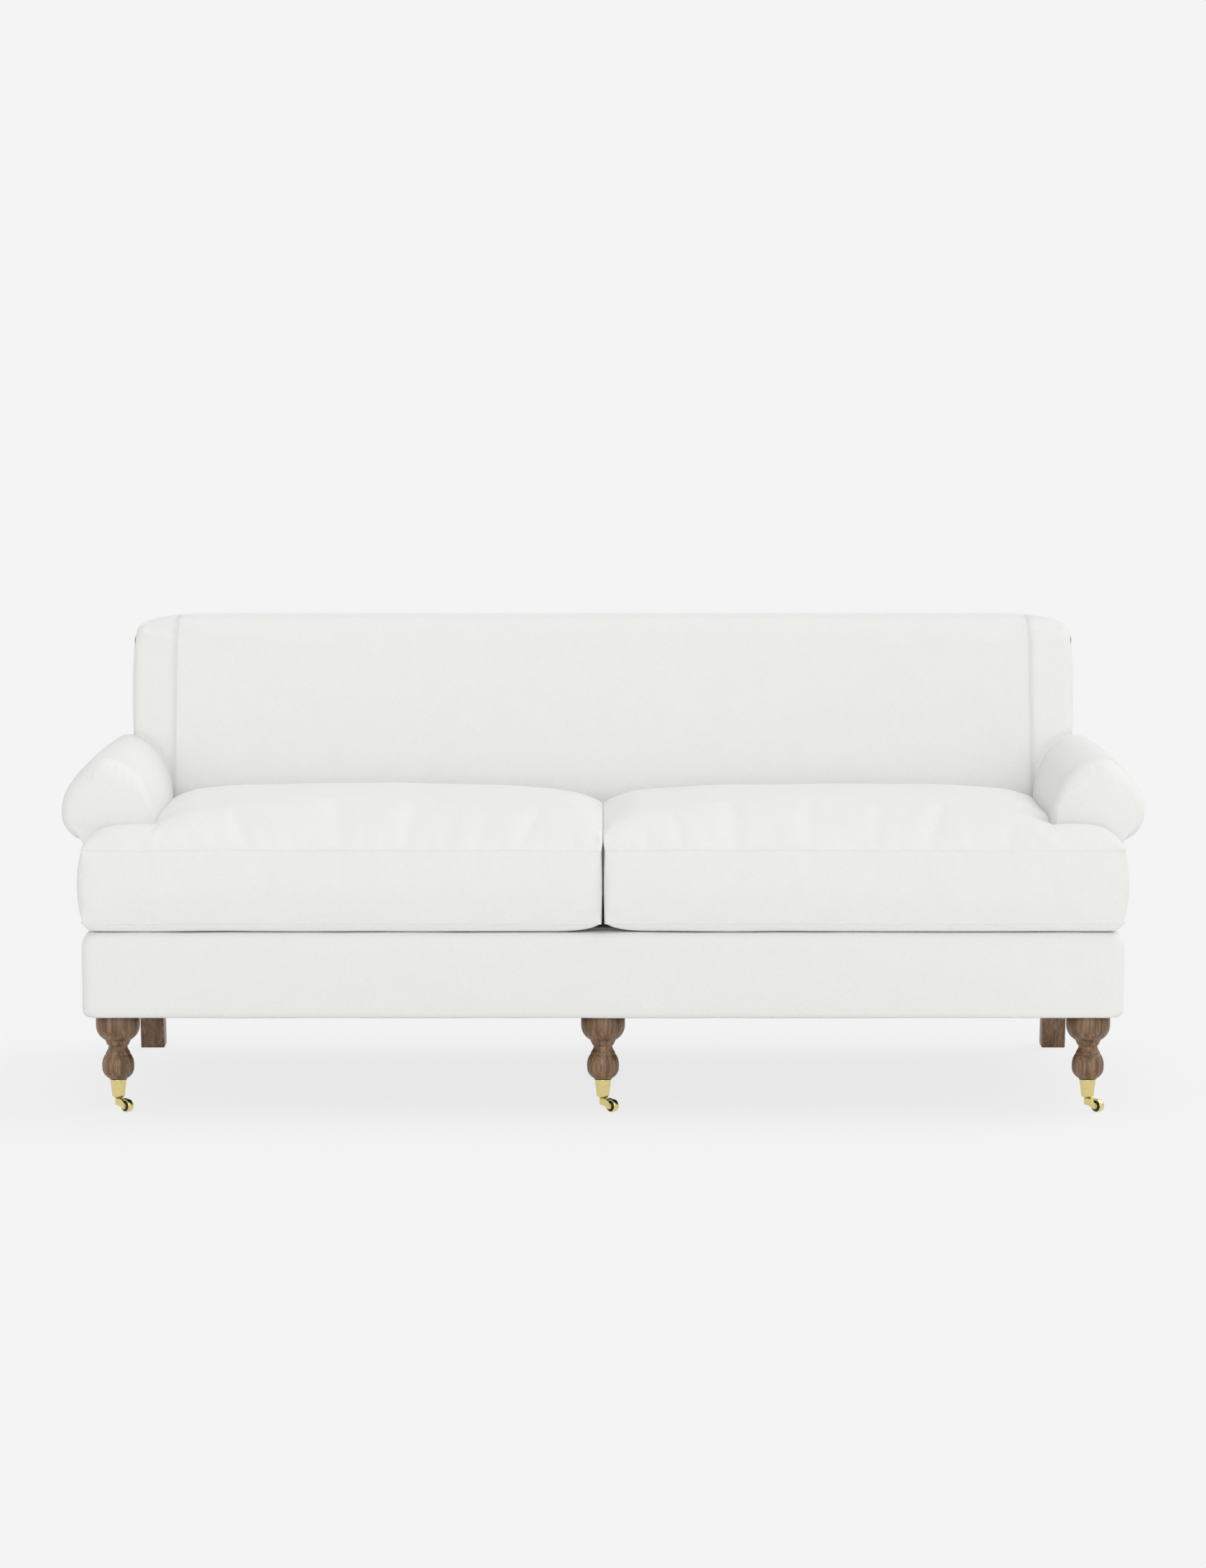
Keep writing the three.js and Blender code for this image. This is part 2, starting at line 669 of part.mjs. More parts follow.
// The back's outer form. Growth makes it that much larger all round, for cutting its neighbours.
function backForm(growth) {
  const right = arc(0, 0, 1, 1, 90, 0, 4).map(([out, up]) => [
    backHalf + growth - backSideRadius * (1 - out),
    backSideRadius * (1 - up) - growth,
  ]);
  const left = right.map(([x, inset]) => [-x, inset]).reverse();
  const height = backTop - padBottom;
  return loft([...left, ...right].map(([x, inset]) => backProfile(inset).map(([y, z]) => {
    const share = (z - padBottom) / height;
    const bulge = backSideBulge * 4 * share * (1 - share) * (Math.abs(x) / backHalf);
    return new THREE.Vector3(x + Math.sign(x) * (bulge - backSideBulge), y, z);
  })), ['y', 'z']);
}

function backAboveArms(growth) {
  const below = block([-armHalf, armHalf], [0, rearReach + overrun], [0, rollBottom - growth]);
  return cut(backForm(growth), below);
}

function addBack() {
  const low = padBottom - overrun;
  const high = postTop + gap;
  const behind = rearReach + overrun;
  const frameSpace = across([
    [postFront(low) - gap, low], [behind, low], [behind, high], [postFront(high) - gap, high],
  ], [-postOuter - gap, postOuter + gap]);
  const besideArm = block([seatHalf - gap, armHalf], [0, behind], [0, rollBottom]);
  const tongue = boardTongueSpace();
  const pad = cut(backForm(0), frameSpace, besideArm, mirrored(besideArm), tongue, mirrored(tongue));
  addPiece('back_pad', pad, linen);

  // Outside back: a thin panel that covers the frame from behind, wider below the arms
  const upper = backHalf - outsideBackInset;
  const upperTop = rearCornerHeight;
  const corner = outsideBackCorner;
  const foot = borderBottomRadius;
  const halfOutline = [
    ...arc(baseHalf - foot, baseBottom + foot, foot, foot, 270, 360, 4),
    [baseHalf, rollBottom - gap],
    [upper, rollBottom - gap],
    ...arc(upper - corner, upperTop - corner, corner, corner, 0, 90, 4),
  ];
  const otherHalf = halfOutline.map(([x, z]) => [-x, z]).reverse();
  const panel = backwards([...halfOutline, ...otherHalf], [0, outsideBackThickness]);
  const place = panel.getAttribute('position');
  for (let i = 0; i < place.count; i++) {
    place.setY(i, place.getY(i) + outsideBackDepth(place.getZ(i)) - outsideBackThickness);
  }
  addPiece('outside_back', panel, linen);
}

// Seat cushion: an L in plan, with a deep crown, boxed sides that swell between their welts, and
// an ear that turns in front of the arm
function cushionGrid() {
  const shares = (count) => Array.from({ length: count + 1 }, (_, i) => i / count);
  const ease = (count) => shares(count).map((s) => (1 - Math.cos(Math.PI * s)) / 2);
  const easeOut = (count) => shares(count).slice(1).map((s) => Math.sin((Math.PI / 2) * s));
  const easeIn = (count) => shares(count).map((s) => 1 - Math.cos((Math.PI / 2) * s));
  const split = cushionParting / 2;
  const side = seatHalf - cushionArmGap;
  const earSide = baseHalf - cushionEarSide;
  const main = ease(13).map((s) => THREE.MathUtils.lerp(split, side, s));
  const ear = easeOut(4).map((s) => THREE.MathUtils.lerp(side, earSide, s));
  const front = easeIn(5).map((s) => THREE.MathUtils.lerp(0, earRear, s));
  const body = easeOut(8).map((s) => THREE.MathUtils.lerp(earRear, cushionRear, s));
  return {
    xs: [...main, ...ear], ys: [...front, ...body],
    sideColumn: main.length - 1, earRow: front.length - 1,
  };
}

// How far a place lies inside the cushion's edges, blended so that the crown has no ridges
function insideDistance(x, y, crowding) {
  const side = seatHalf - cushionArmGap;
  const notch = Math.hypot(Math.max(side - x, 0), Math.max(earRear - y, 0));
  const edges = [
    y,
    x - cushionParting / 2 + crowding,
    cushionRear - y + crowding,
    notch + crowding,
    baseHalf - cushionEarSide - x,
  ];
  const blend = 3;
  if (edges.some((d) => d <= 0)) return 0;
  return edges.reduce((sum, d) => sum + d ** -blend, 0) ** (-1 / blend);
}

function cushionForm() {
  const { xs, ys, sideColumn, earRow } = cushionGrid();
  const lastX = xs.length - 1;
  const lastY = ys.length - 1;
  const used = (i, j) => i <= sideColumn || j <= earRow;
  const points = [];
  const number = { top: new Map(), bottom: new Map() };
  const key = (i, j) => `${i},${j}`;
  const corner = (i, j) => {
    const atFront = j === 0 && (i === lastX || i === 0);
    const atEarRear = i === lastX && j === earRow;
    const atRear = j === lastY && (i === 0 || i === sideColumn);
    return atFront || atEarRear || atRear;
  };
  const place = (i, j) => {
    if (!corner(i, j)) return [xs[i], ys[j]];
    const inX = i === 0 ? cushionCorner : -cushionCorner;
    const inY = j === 0 ? cushionCorner : -cushionCorner;
    return [xs[i] + inX / 2, ys[j] + inY / 2];
  };
  ys.forEach((_, j) => xs.forEach((__, i) => {
    if (!used(i, j)) return;
    const [x, y] = place(i, j);
    const rise = 1 - Math.exp(-insideDistance(xs[i], ys[j], crownCrowding) / crownReach);
    number.top.set(key(i, j), points.length);
    points.push(new THREE.Vector3(x, y, upperWelt + cushionCrown * rise));
    const fall = 1 - Math.exp(-insideDistance(xs[i], ys[j], 0) / undersideReach);
    number.bottom.set(key(i, j), points.length);
    points.push(new THREE.Vector3(x, y, lowerWelt - (lowerWelt - deckTop - gap) * fall));
  }));

  const triangles = [];
  for (let j = 0; j < lastY; j++) {
    for (let i = 0; i < lastX; i++) {
      if (i >= sideColumn && j >= earRow) continue;
      const cell = [[i, j], [i + 1, j], [i + 1, j + 1], [i, j + 1]].map(([a, b]) => key(a, b));
      const [a, b, c, d] = cell.map((k) => number.top.get(k));
      triangles.push([a, b, c], [a, c, d]);
      const [e, f, g, h] = cell.map((k) => number.bottom.get(k));
      triangles.push([e, g, f], [e, h, g]);
    }
  }

  // The edge, walked once round against the clock, with how far each side swells
  const range = (from, to) => Array.from({ length: Math.abs(to - from) },
    (_, n) => from + n * Math.sign(to - from));
  const earSwell = cushionEarGap - gap - gap;
  const splitSwell = cushionParting / 2 - gap - gap - gap;
  const edge = [
    ...range(0, lastX).map((i) => [i, 0, 0, -1, cushionSwell]),
    ...range(0, earRow).map((j) => [lastX, j, 1, 0, cushionSwell]),
    ...range(lastX, sideColumn).map((i) => [i, earRow, 0, 1, earSwell]),
    ...range(earRow, lastY).map((j) => [sideColumn, j, 1, 0, cushionSwell]),
    ...range(sideColumn, 0).map((i) => [i, lastY, 0, 1, cushionRearGap / 2]),
    ...range(lastY, 0).map((j) => [0, j, -1, 0, splitSwell]),
  ];
  const rowShares = [0.2, 0.5, 0.8];
  const bottomRing = edge.map(([i, j]) => number.bottom.get(key(i, j)));
  const topRing = edge.map(([i, j]) => number.top.get(key(i, j)));
  const rings = [bottomRing];
  for (const share of rowShares) {
    rings.push(edge.map(([i, j, outX, outY, swell], n) => {
      const before = edge[(n + edge.length - 1) % edge.length];
      const turning = before[2] !== outX || before[3] !== outY;
      const pushX = turning ? (outX * swell + before[2] * before[4]) / 2 : outX * swell;
      const pushY = turning ? (outY * swell + before[3] * before[4]) / 2 : outY * swell;
      const low = points[number.bottom.get(key(i, j))];
      const high = points[number.top.get(key(i, j))];
      const bow = Math.sin(Math.PI * share);
      points.push(new THREE.Vector3(low.x + pushX * bow, low.y + pushY * bow,
        THREE.MathUtils.lerp(low.z, high.z, share)));
      return points.length - 1;
    }));
  }
  rings.push(topRing);
  rings.slice(1).forEach((upper, r) => triangles.push(...band(rings[r], upper)));
  return closedSurface(points, triangles);
}

// Turned front leg with a hanger stud on top and a tapered tenon in the castor's cup
function turnedLeg() {
  const at = (member) => cupTop + turnedHeight * legShares[member];
  const tenonEnd = cupBottom + cupFloor + gap + rivetThickness + tenonEndGap;
  const profile = new THREE.Path();
  profile.moveTo(0, baseBottom + studHeight);
  profile.lineTo(studRadius, baseBottom + studHeight);
  profile.lineTo(studRadius, baseBottom);
  profile.lineTo(capRadius, baseBottom);
  profile.lineTo(capRadius, baseBottom - capStraight);
  profile.bezierCurveTo(capRadius, at('capSweep'), capSweep, at('ledgeSweep'), ledgeRadius, at('ledge'));
  profile.lineTo(ledgeRadius - turningStep, at('ledge') - turningStep);
  profile.lineTo(beadRadius + turningStep, at('collar'));
  profile.lineTo(beadRadius, at('bead'));
  profile.quadraticCurveTo(neckRadius, at('neckTop'), neckRadius, at('neck'));
  profile.quadraticCurveTo(neckRadius, at('neckFoot'), filletRadius, at('fillet'));
  profile.lineTo(filletRadius - turningStep / 2, at('bulbTop'));
  const shoulder = at('bulbShoulder');
  profile.bezierCurveTo(bulbRadius, at('bulbSweep'), bulbRadius, at('bulb'), bulbShoulder, shoulder);
  profile.quadraticCurveTo(bulbShoulder - turningStep, at('footSweep'), footRadius, cupTop + gap);
  profile.lineTo(cupTopRadius - cupWall - gap, cupTop + gap);
  profile.lineTo(cupBaseRadius - cupWall - gap, tenonEnd);
  profile.lineTo(0, tenonEnd);
  return turned(profile.getPoints(5).reverse(), 20);
}

function rearLeg() {
  const topFront = rearLegTopFront();
  const topRear = topFront + rearLegTopDepth;
  const footFront = topFront + rearLegRake;
  const footRear = footFront + rearLegFootDepth;
  const heel = rearLegHeelRadius;
  const x = rearLegX();
  const leg = across([
    [footFront, 0], ...arc(footRear - heel, heel, heel, heel, 270, 360, 3), [topRear, baseBottom],
    [topFront, baseBottom],
  ], [x - rearLegWidth / 2, x + rearLegWidth / 2]);
  const stud = post(x, rearLegStudDepth(), studRadius, [baseBottom - overrun, baseBottom + studHeight], 8);
  return join(leg, stud);
}

// Castor: cup on the leg, swivelling horn, and a brass-tyred wheel on its axle
function castorCup() {
  const floorTop = cupBottom + cupFloor;
  const hole = pintleRadius + runningGap;
  const points = [
    [hole, cupBottom], [cupToeRadius, cupBottom], [cupBaseRadius, cupBottom + cupFloor],
    [cupTopRadius, cupTop - cupLip * 4], [cupTopRadius + cupLip, cupTop - cupLip * 3],
    [cupTopRadius + cupLip, cupTop - cupLip], [cupTopRadius, cupTop],
    [cupTopRadius - cupWall, cupTop], [cupBaseRadius - cupWall, floorTop], [hole, floorTop],
    [hole, cupBottom],
  ];
  return turned(points.map(([r, z]) => new THREE.Vector2(r, z)), 20);
}

function castorHorn() {
  const slotHalf = wheelWidth / 2 + cheekClearance;
  const cheekOuter = slotHalf + cheekThickness;
  const rivetBottom = cupBottom + cupFloor + gap;
  const stem = [
    [0, axleHeight], [bossRadius - bossChamfer, axleHeight], [bossRadius, axleHeight + bossChamfer],
    [bossRadius, bossTop - bossChamfer], [bossRadius - bossChamfer, bossTop],
    [pintleRadius, bossTop], [pintleRadius, rivetBottom], [rivetRadius, rivetBottom],
    [rivetRadius, rivetBottom + rivetThickness], [0, rivetBottom + rivetThickness],
  ];
  const boss = turned(stem.map(([r, z]) => new THREE.Vector2(r, z)), 16);
  const shoulder = wheelTrail / 2;
  const claw = new THREE.Path();
  claw.moveTo(0, axleHeight);
  claw.quadraticCurveTo(shoulder, axleHeight, wheelTrail - cheekRadius / 2, axleHeight - cheekRadius);
  claw.absarc(wheelTrail, axleHeight, cheekRadius, -Math.PI / 2, Math.PI / 2, false);
  const clawTop = bossTop - bossChamfer;
  claw.quadraticCurveTo(wheelTrail - cheekRadius, clawTop, shoulder - bossChamfer, clawTop);
  claw.lineTo(0, clawTop);
  const outline = claw.getPoints(4).map((p) => [p.x, p.y]);
  const cheeks = backwards(outline, [-cheekOuter, cheekOuter]);
  const wheelSpace = new THREE.CylinderGeometry(wheelRadius + cheekClearance + gap,
    wheelRadius + cheekClearance + gap, slotHalf + slotHalf, 24).translate(wheelTrail, 0, axleHeight);
  const axleHole = new THREE.CylinderGeometry(axleRadius + gap, axleRadius + gap,
    (cheekOuter + overrun) * 2, 10).translate(wheelTrail, 0, axleHeight);
  return cut(join(boss, cheeks), wheelSpace, axleHole);
}

// A ring or disc turned about the axle: points give radius and distance along the axle
function onAxle(points, sides) {
  const profile = points.map(([r, along]) => new THREE.Vector2(r, along));
  return new THREE.LatheGeometry(profile, sides).translate(wheelTrail, 0, axleHeight);
}

function wheelTyre() {
  const half = wheelWidth / 2;
  const inner = wheelRadius - tyreThickness;
  return onAxle([
    [inner, -half], [wheelRadius - tyreCrown, -half], [wheelRadius - tyreCrown / 4, -half / 2],
    [wheelRadius, 0], [wheelRadius - tyreCrown / 4, half / 2], [wheelRadius - tyreCrown, half],
    [inner, half], [inner, -half],
  ], 24);
}

function wheelCore() {
  const half = wheelWidth / 2 - coreRecess;
  const rim = wheelRadius - tyreThickness - gap;
  const bore = axleRadius + gap;
  const hub = wheelWidth / 2 + gap;
  return onAxle([
    [bore, -hub], [hubRadius, -hub], [hubRadius, -half], [rim, -half],
    [rim, half], [hubRadius, half], [hubRadius, hub], [bore, hub], [bore, -hub],
  ], 20);
}

function wheelAxle() {
  const neck = wheelWidth / 2 + cheekClearance + cheekThickness + gap;
  const end = neck + axleHeadThickness;
  return onAxle([
    [0, -end], [axleHeadRadius, -end], [axleHeadRadius, -neck], [axleRadius, -neck],
    [axleRadius, neck], [axleHeadRadius, neck], [axleHeadRadius, end], [0, end],
  ], 10);
}

function addLegs() {
  for (const [side, x] of [['left', -legX], ['centre', 0], ['right', legX]]) {
    const castor = new THREE.Group();
    castor.position.set(x, legSetback, 0);
    sofa.add(castor);
    addPiece(`${side}_front_leg`, turnedLeg(), walnut, castor);
    addPiece(`${side}_castor_cup`, castorCup(), brass, castor);
    const swivel = new THREE.Group();
    swivel.rotation.z = castorHeading;
    castor.add(swivel);
    addPiece(`${side}_castor_horn`, castorHorn(), brass, swivel);
    addPiece(`${side}_wheel_tyre`, wheelTyre(), brass, swivel);
    addPiece(`${side}_wheel_core`, wheelCore(), blackCore, swivel);
    addPiece(`${side}_wheel_axle`, wheelAxle(), brass, swivel);
  }
  addPair('rear_leg', rearLeg(), walnut);
}

addFrame();
addSprings();
addBorder();
addDeckAndCovers();
addOutsideArms();
addArms();
addBack();
addPair('seat_cushion', cushionForm(), linen);
addLegs();

export default sofa;
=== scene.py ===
import json
import math
from contextlib import contextmanager

import bmesh
import bpy
import numpy as np
from mathutils import Matrix, Vector, noise

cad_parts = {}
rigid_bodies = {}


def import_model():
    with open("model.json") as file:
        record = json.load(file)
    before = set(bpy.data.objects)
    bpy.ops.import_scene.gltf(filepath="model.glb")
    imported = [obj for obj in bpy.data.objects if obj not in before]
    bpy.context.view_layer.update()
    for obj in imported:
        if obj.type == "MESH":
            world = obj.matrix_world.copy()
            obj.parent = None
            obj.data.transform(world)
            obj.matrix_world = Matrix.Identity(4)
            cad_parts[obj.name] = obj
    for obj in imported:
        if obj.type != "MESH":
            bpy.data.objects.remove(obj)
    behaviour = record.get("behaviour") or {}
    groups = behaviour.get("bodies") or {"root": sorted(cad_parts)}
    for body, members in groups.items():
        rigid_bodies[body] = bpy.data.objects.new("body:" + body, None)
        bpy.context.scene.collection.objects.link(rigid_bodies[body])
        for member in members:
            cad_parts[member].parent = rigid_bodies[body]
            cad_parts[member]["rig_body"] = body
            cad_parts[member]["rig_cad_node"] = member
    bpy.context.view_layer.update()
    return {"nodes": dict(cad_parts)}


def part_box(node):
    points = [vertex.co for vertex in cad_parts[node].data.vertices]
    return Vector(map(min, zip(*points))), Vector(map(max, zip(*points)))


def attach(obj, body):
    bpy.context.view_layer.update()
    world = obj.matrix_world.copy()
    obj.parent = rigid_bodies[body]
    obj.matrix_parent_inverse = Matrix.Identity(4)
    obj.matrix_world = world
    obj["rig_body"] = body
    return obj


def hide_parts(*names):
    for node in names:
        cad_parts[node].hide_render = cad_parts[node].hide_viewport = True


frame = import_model()
scene = bpy.context.scene


def span(node):
    """Lowest and highest corner of a frame node."""
    low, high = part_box(node)
    return np.array(low), np.array(high)


# Places read from the frame
arm_low, arm_high = span("right_arm_pad")
back_high = span("back_pad")[1]
border_low, border_high = span("front_border")
panel_low, panel_high = span("right_outside_arm")
rear_high = span("outside_back")[1]
deck_low, deck_high = span("seat_deck")
dust_low, dust_high = span("dust_cover")
leg_low, leg_high = span("right_front_leg")
cup_low, cup_high = span("right_castor_cup")
board_low, board_high = span("right_arm_board")
post_high = span("right_back_post")[1]

front = border_low[1]
seat_half = arm_low[0]
arm_half = arm_high[0]
base_half = border_high[0]
base_bottom = border_low[2]
deck_top = border_high[2]
arm_front = arm_low[1]
arm_rear = arm_high[1]
pad_bottom = arm_low[2]
roll_top = arm_high[2]
roll_bottom = panel_high[2]
back_half = back_high[0]
rear_face = rear_high[1]
leg_x = (leg_low[0] + leg_high[0]) / 2
leg_y = (leg_low[1] + leg_high[1]) / 2

# Fabric
fit = 0.0003
weld = 0.00002
fabric_step = 0.012
side_padding = 0.0197
outer_padding = 0.030

# Cushion
swell = 0.0095
swell_by_arm = 0.0035
edge_run = 0.013
split_filling = (0.045, 0.027, 0.60)
arm_filling = (0.062, 0.027, 0.80)
crown = 0.094
crown_reach = 0.114
front_fullness = 1.15
ear_fullness = 1.4
ear_flatness = 0.6
rear_crowding = 0.052
ear_crowding = 0.025
ear_side_crowding = 0.008
ear_side_run = 0.04
crowding_run = 0.08
shoulder_reach = 0.0008
shoulder_fade = 0.010
shoulder_spread = 0.030
shoulder_slope = 0.45
split_press = 0.0016
press_share = 0.80
boxing_rounding = 0.020
underside_reach = 0.0060
split_lift_share = 0.2
boxing_height = 0.144
boxing_lift = 0.020
side_gap = 0.0085
ear_inset = 0.0028
ear_gap = 0.003
rear_gap = 0.007
split_half = 0.0019
split_hold = 5
welt_radius = 0.0019
ear_pull = 0.0006
corner_reach = 0.011
split_tuck = 0.0016
welt_waver = 0.0026
waver_run = 0.13

# Arm
crest_width = 0.0945
crest_height = 0.128
roll_bulge = 0.004
bulge_run = 0.25
bulge_rise = 0.05
rail_fade = 0.02
roll_reach = 0.002
shoulder_radius = 0.090
scroll_width = 0.052
scroll_height = 0.0575
scroll_power = 2.35
facing_side_inset = 0.019
facing_top_inset = 0.044
facing_turn = 14.0
arm_counts = (44, 40, 44, 40)
nose_depth = 0.042
tail_depth = 0.024
tail_inset = 0.018
facing_dome = 0.012
facing_inner_share = 0.55
inner_rounding = 0.018
seam_depth = 0.0008
groove_reach = 0.075
groove_fade = 0.03
arm_hold_height = 0.12
crease_depth = 0.0035
crease_reach = 0.011
crease_fade = 0.05
back_crease_depth = 0.009
back_crease_reach = 0.007

# Back
seat_depth = 0.603
rear_lean = 0.060
back_top_thickness = 0.220
back_crown = 0.011
crest_front = 0.062
crest_rear = 0.055
back_rear_drop = 0.005
back_crest_rise = 0.003
back_seam_half = 0.970
back_face_ease = 0.060
back_face_round = 0.024
back_top_ease = 0.166
back_top_round = 0.042
back_side_dome = 0.0085
back_side_foot = 0.66
back_hold_reach = 0.1
back_hold_slope = 0.1
rounding_power = 2.6
rear_tuck_share = 0.03
outside_skin = 0.006
outside_corner = 0.010
outside_inset = 0.002
outside_puff = 0.0012
post_reach = 0.1203

# Base
border_corner = 0.026
brow_side = 0.022
brow_front = 0.018
brow_height = 0.028
hem_side = 0.013
hem_front = 0.007
hem_height = 0.015
border_lip = 0.075
border_unevenness = 0.0009
border_uneven_run = 0.11
front_padding = 0.0157
panel_edge = 0.010
panel_bulge = 0.0022
panel_lip = 0.0088

back_top_drop = 0.003
back_top = back_high[2] - back_top_drop
rear_top = rear_high[2]

# Outline of a seat cushion: half widths, and depths from the front
cushion_side = seat_half - side_gap
ear_side = base_half - ear_inset
ear_rear = arm_front - front - ear_gap
cushion_rear = seat_depth - rear_gap


# Lines and sections

def angles(start, end, count):
    """Evenly spaced angles, given in degrees."""
    return np.radians(np.linspace(start, end, count))


def arc(u, v, radius_u, radius_v, start, end, count=25):
    """Points on an elliptical arc, from one angle to another in degrees."""
    angle = angles(start, end, count)
    return np.stack([u + radius_u * np.cos(angle), v + radius_v * np.sin(angle)], axis=1)


def bezier(*controls, count=13):
    """Points on a Bezier curve with three or four controls."""
    t = np.linspace(0, 1, count).reshape(count, *[1] * np.ndim(controls[0]))
    points = [np.repeat(np.array([c], float), count, axis=0) for c in controls]
    while len(points) > 1:
        points = [(1 - t) * a + t * b for a, b in zip(points, points[1:])]
    return points[0]


def run_of(points):
    """How far along a line each of its points is."""
    steps = np.linalg.norm(np.diff(points, axis=0), axis=1)
    return np.concatenate([[0.0], np.cumsum(steps)])


def resampled(points, count):
    """The same line with evenly spaced points."""
    points = np.asarray(points, float)
    run = run_of(points)
    wanted = np.linspace(0, run[-1], count)
    return np.stack([np.interp(wanted, run, points[:, k]) for k in range(points.shape[1])], axis=1)


def eased(low, high, step, share=0.6):
    """Places from low to high, closer together near both ends."""
    count = max(2, round(abs(high - low) / step))
    s = np.linspace(0, 1, count + 1)
    s = (1 - share) * s + share * (1 - np.cos(np.pi * s)) / 2
    return low + (high - low) * s


def coons(left, top, right, bottom):
    """A grid that fills four lines: left and right run upwards, top and bottom to the right."""
    s = np.linspace(0, 1, len(top))[None, :, None]
    t = np.linspace(0, 1, len(left))[:, None, None]
    between_sides = (1 - s) * left[:, None] + s * right[:, None]
    between_ends = (1 - t) * bottom[None] + t * top[None]
    low = (1 - s) * bottom[0] + s * bottom[-1]
    high = (1 - s) * top[0] + s * top[-1]
    return between_sides + between_ends - (1 - t) * low - t * high


def plane(across, up):
    """Cloth coordinates of a grid, from its places along both of its sides."""
    return np.stack(np.meshgrid(across, up), axis=-1)


def heading(line):
    """The direction of a closed line at each of its points."""
    ahead = np.roll(line, -1, axis=0) - np.roll(line, 1, axis=0)
    return ahead / np.linalg.norm(ahead, axis=1, keepdims=True)


def nearest(points, line):
    """How far each point is from the nearest point of a line."""
    return np.linalg.norm(points[:, None] - line[None], axis=2).min(axis=1)


def bell(away, reach):
    return np.exp(-(away / reach) ** 2)


def hump(count):
    """Half a sine wave over evenly spaced places."""
    return np.sin(np.pi * np.linspace(0, 1, count))


def wave(x, y, size, seed):
    """Smooth noise from -1 to 1 over a plane."""
    flat = np.stack([np.ravel(x) / size, np.ravel(y) / size], axis=1)
    values = [noise.noise(Vector((u, v, seed * 7.31))) for u, v in flat]
    return np.array(values).reshape(np.shape(x))


# Meshes

def added(name, data):
    """A new object in the scene."""
    obj = bpy.data.objects.new(name, data)
    scene.collection.objects.link(obj)
    return obj


def flat_mesh(name, points, faces):
    mesh = bpy.data.meshes.new(name)
    mesh.from_pydata(points, [], faces)
    return mesh


@contextmanager
def edited(mesh):
    """The mesh while it is worked on; it comes back smooth."""
    work = bmesh.new()
    work.from_mesh(mesh)
    yield work
    work.to_mesh(mesh)
    work.free()
    mesh.shade_smooth()


class Shell:
    """A closed skin put together from grids that share their borders."""

    def __init__(self):
        self.points, self.faces, self.cloth = [], [], []
        self.count = 0

    def grid(self, points, cloth):
        rows, columns = points.shape[:2]
        numbers = self.count + np.arange(rows * columns).reshape(rows, columns)
        corners = [numbers[:-1, :-1], numbers[:-1, 1:], numbers[1:, 1:], numbers[1:, :-1]]
        self.points.append(points.reshape(-1, 3))
        self.faces.append(np.stack(corners, axis=-1).reshape(-1, 4))
        self.cloth.append(np.broadcast_to(cloth, (rows, columns, 2)).reshape(-1, 2))
        self.count += rows * columns

    def strip(self, rings):
        """A grid through rings of points, with the cloth measured along and across them."""
        middle = rings[len(rings) // 2]
        self.grid(rings, plane(run_of(middle), run_of(rings[:, 0])))

    def walls(self, a, b, steps=1):
        """Closes the four open sides between two sheets."""
        for side in (np.s_[0], np.s_[-1], np.s_[:, 0], np.s_[:, -1]):
            self.strip(np.stack([(1 - s) * a[side] + s * b[side] for s in np.linspace(0, 1, steps + 1)]))

    def build(self, name, material, sign=1):
        points = np.concatenate(self.points) * (sign, 1, 1)
        faces = np.concatenate(self.faces)
        mesh = flat_mesh(name, points.tolist(), faces.tolist())
        layer = mesh.uv_layers.new(name="cloth")
        layer.data.foreach_set("uv", np.concatenate(self.cloth)[faces.ravel()].ravel())
        with edited(mesh) as work:
            bmesh.ops.remove_doubles(work, verts=work.verts, dist=weld)
            bmesh.ops.dissolve_degenerate(work, edges=work.edges, dist=weld)
            bmesh.ops.recalc_face_normals(work, faces=work.faces)
        mesh.materials.append(material)
        return added(name, mesh)


def rounder(obj):
    fine = obj.modifiers.new("Rounder", "SUBSURF")
    fine.levels = fine.render_levels = 1


def dress(obj, body, node):
    """The piece rides on a body and stands for a frame node, which is hidden."""
    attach(obj, body)
    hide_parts(node)


def cover(obj, body, slot, node):
    """A padded piece, which stands for a soft solid."""
    dress(obj, body, node)
    if slot == "upholstery":
        rounder(obj)


def co_of(obj, kind="co"):
    """Places of the points, or their normals."""
    co = np.zeros(len(obj.data.vertices) * 3)
    obj.data.vertices.foreach_get(kind, co)
    return co.reshape(-1, 3)


def set_co(obj, co):
    obj.data.vertices.foreach_set("co", co.ravel())
    obj.data.update()


def soften(obj, amount, size, seed):
    """Slight unevenness along the normals, as hand-laid padding has."""
    co = co_of(obj)
    push = [noise.noise(Vector(p) / size + Vector((seed, 0, 0))) for p in co]
    set_co(obj, co + co_of(obj, "normal") * np.array(push)[:, None] * amount)


def hold(obj, places):
    """Points that stay where they are while the cloth settles."""
    group = obj.vertex_groups.new(name="held")
    group.add(np.flatnonzero(places).tolist(), 1.0, "REPLACE")


# Pressure, slack in the cloth and the most that a point may move
cushion_blow = (4.0, 0.010, 0.008)
arm_blow = (3.0, 0.002, 0.004)
back_blow = (3.0, 0.002, 0.006)
settle_frames = 18
cloth_values = {
    "quality": 5, "mass": 0.25, "tension_stiffness": 14, "compression_stiffness": 10,
    "shear_stiffness": 6, "bending_stiffness": 1.2, "use_pressure": True, "vertex_group_mass": "held",
}


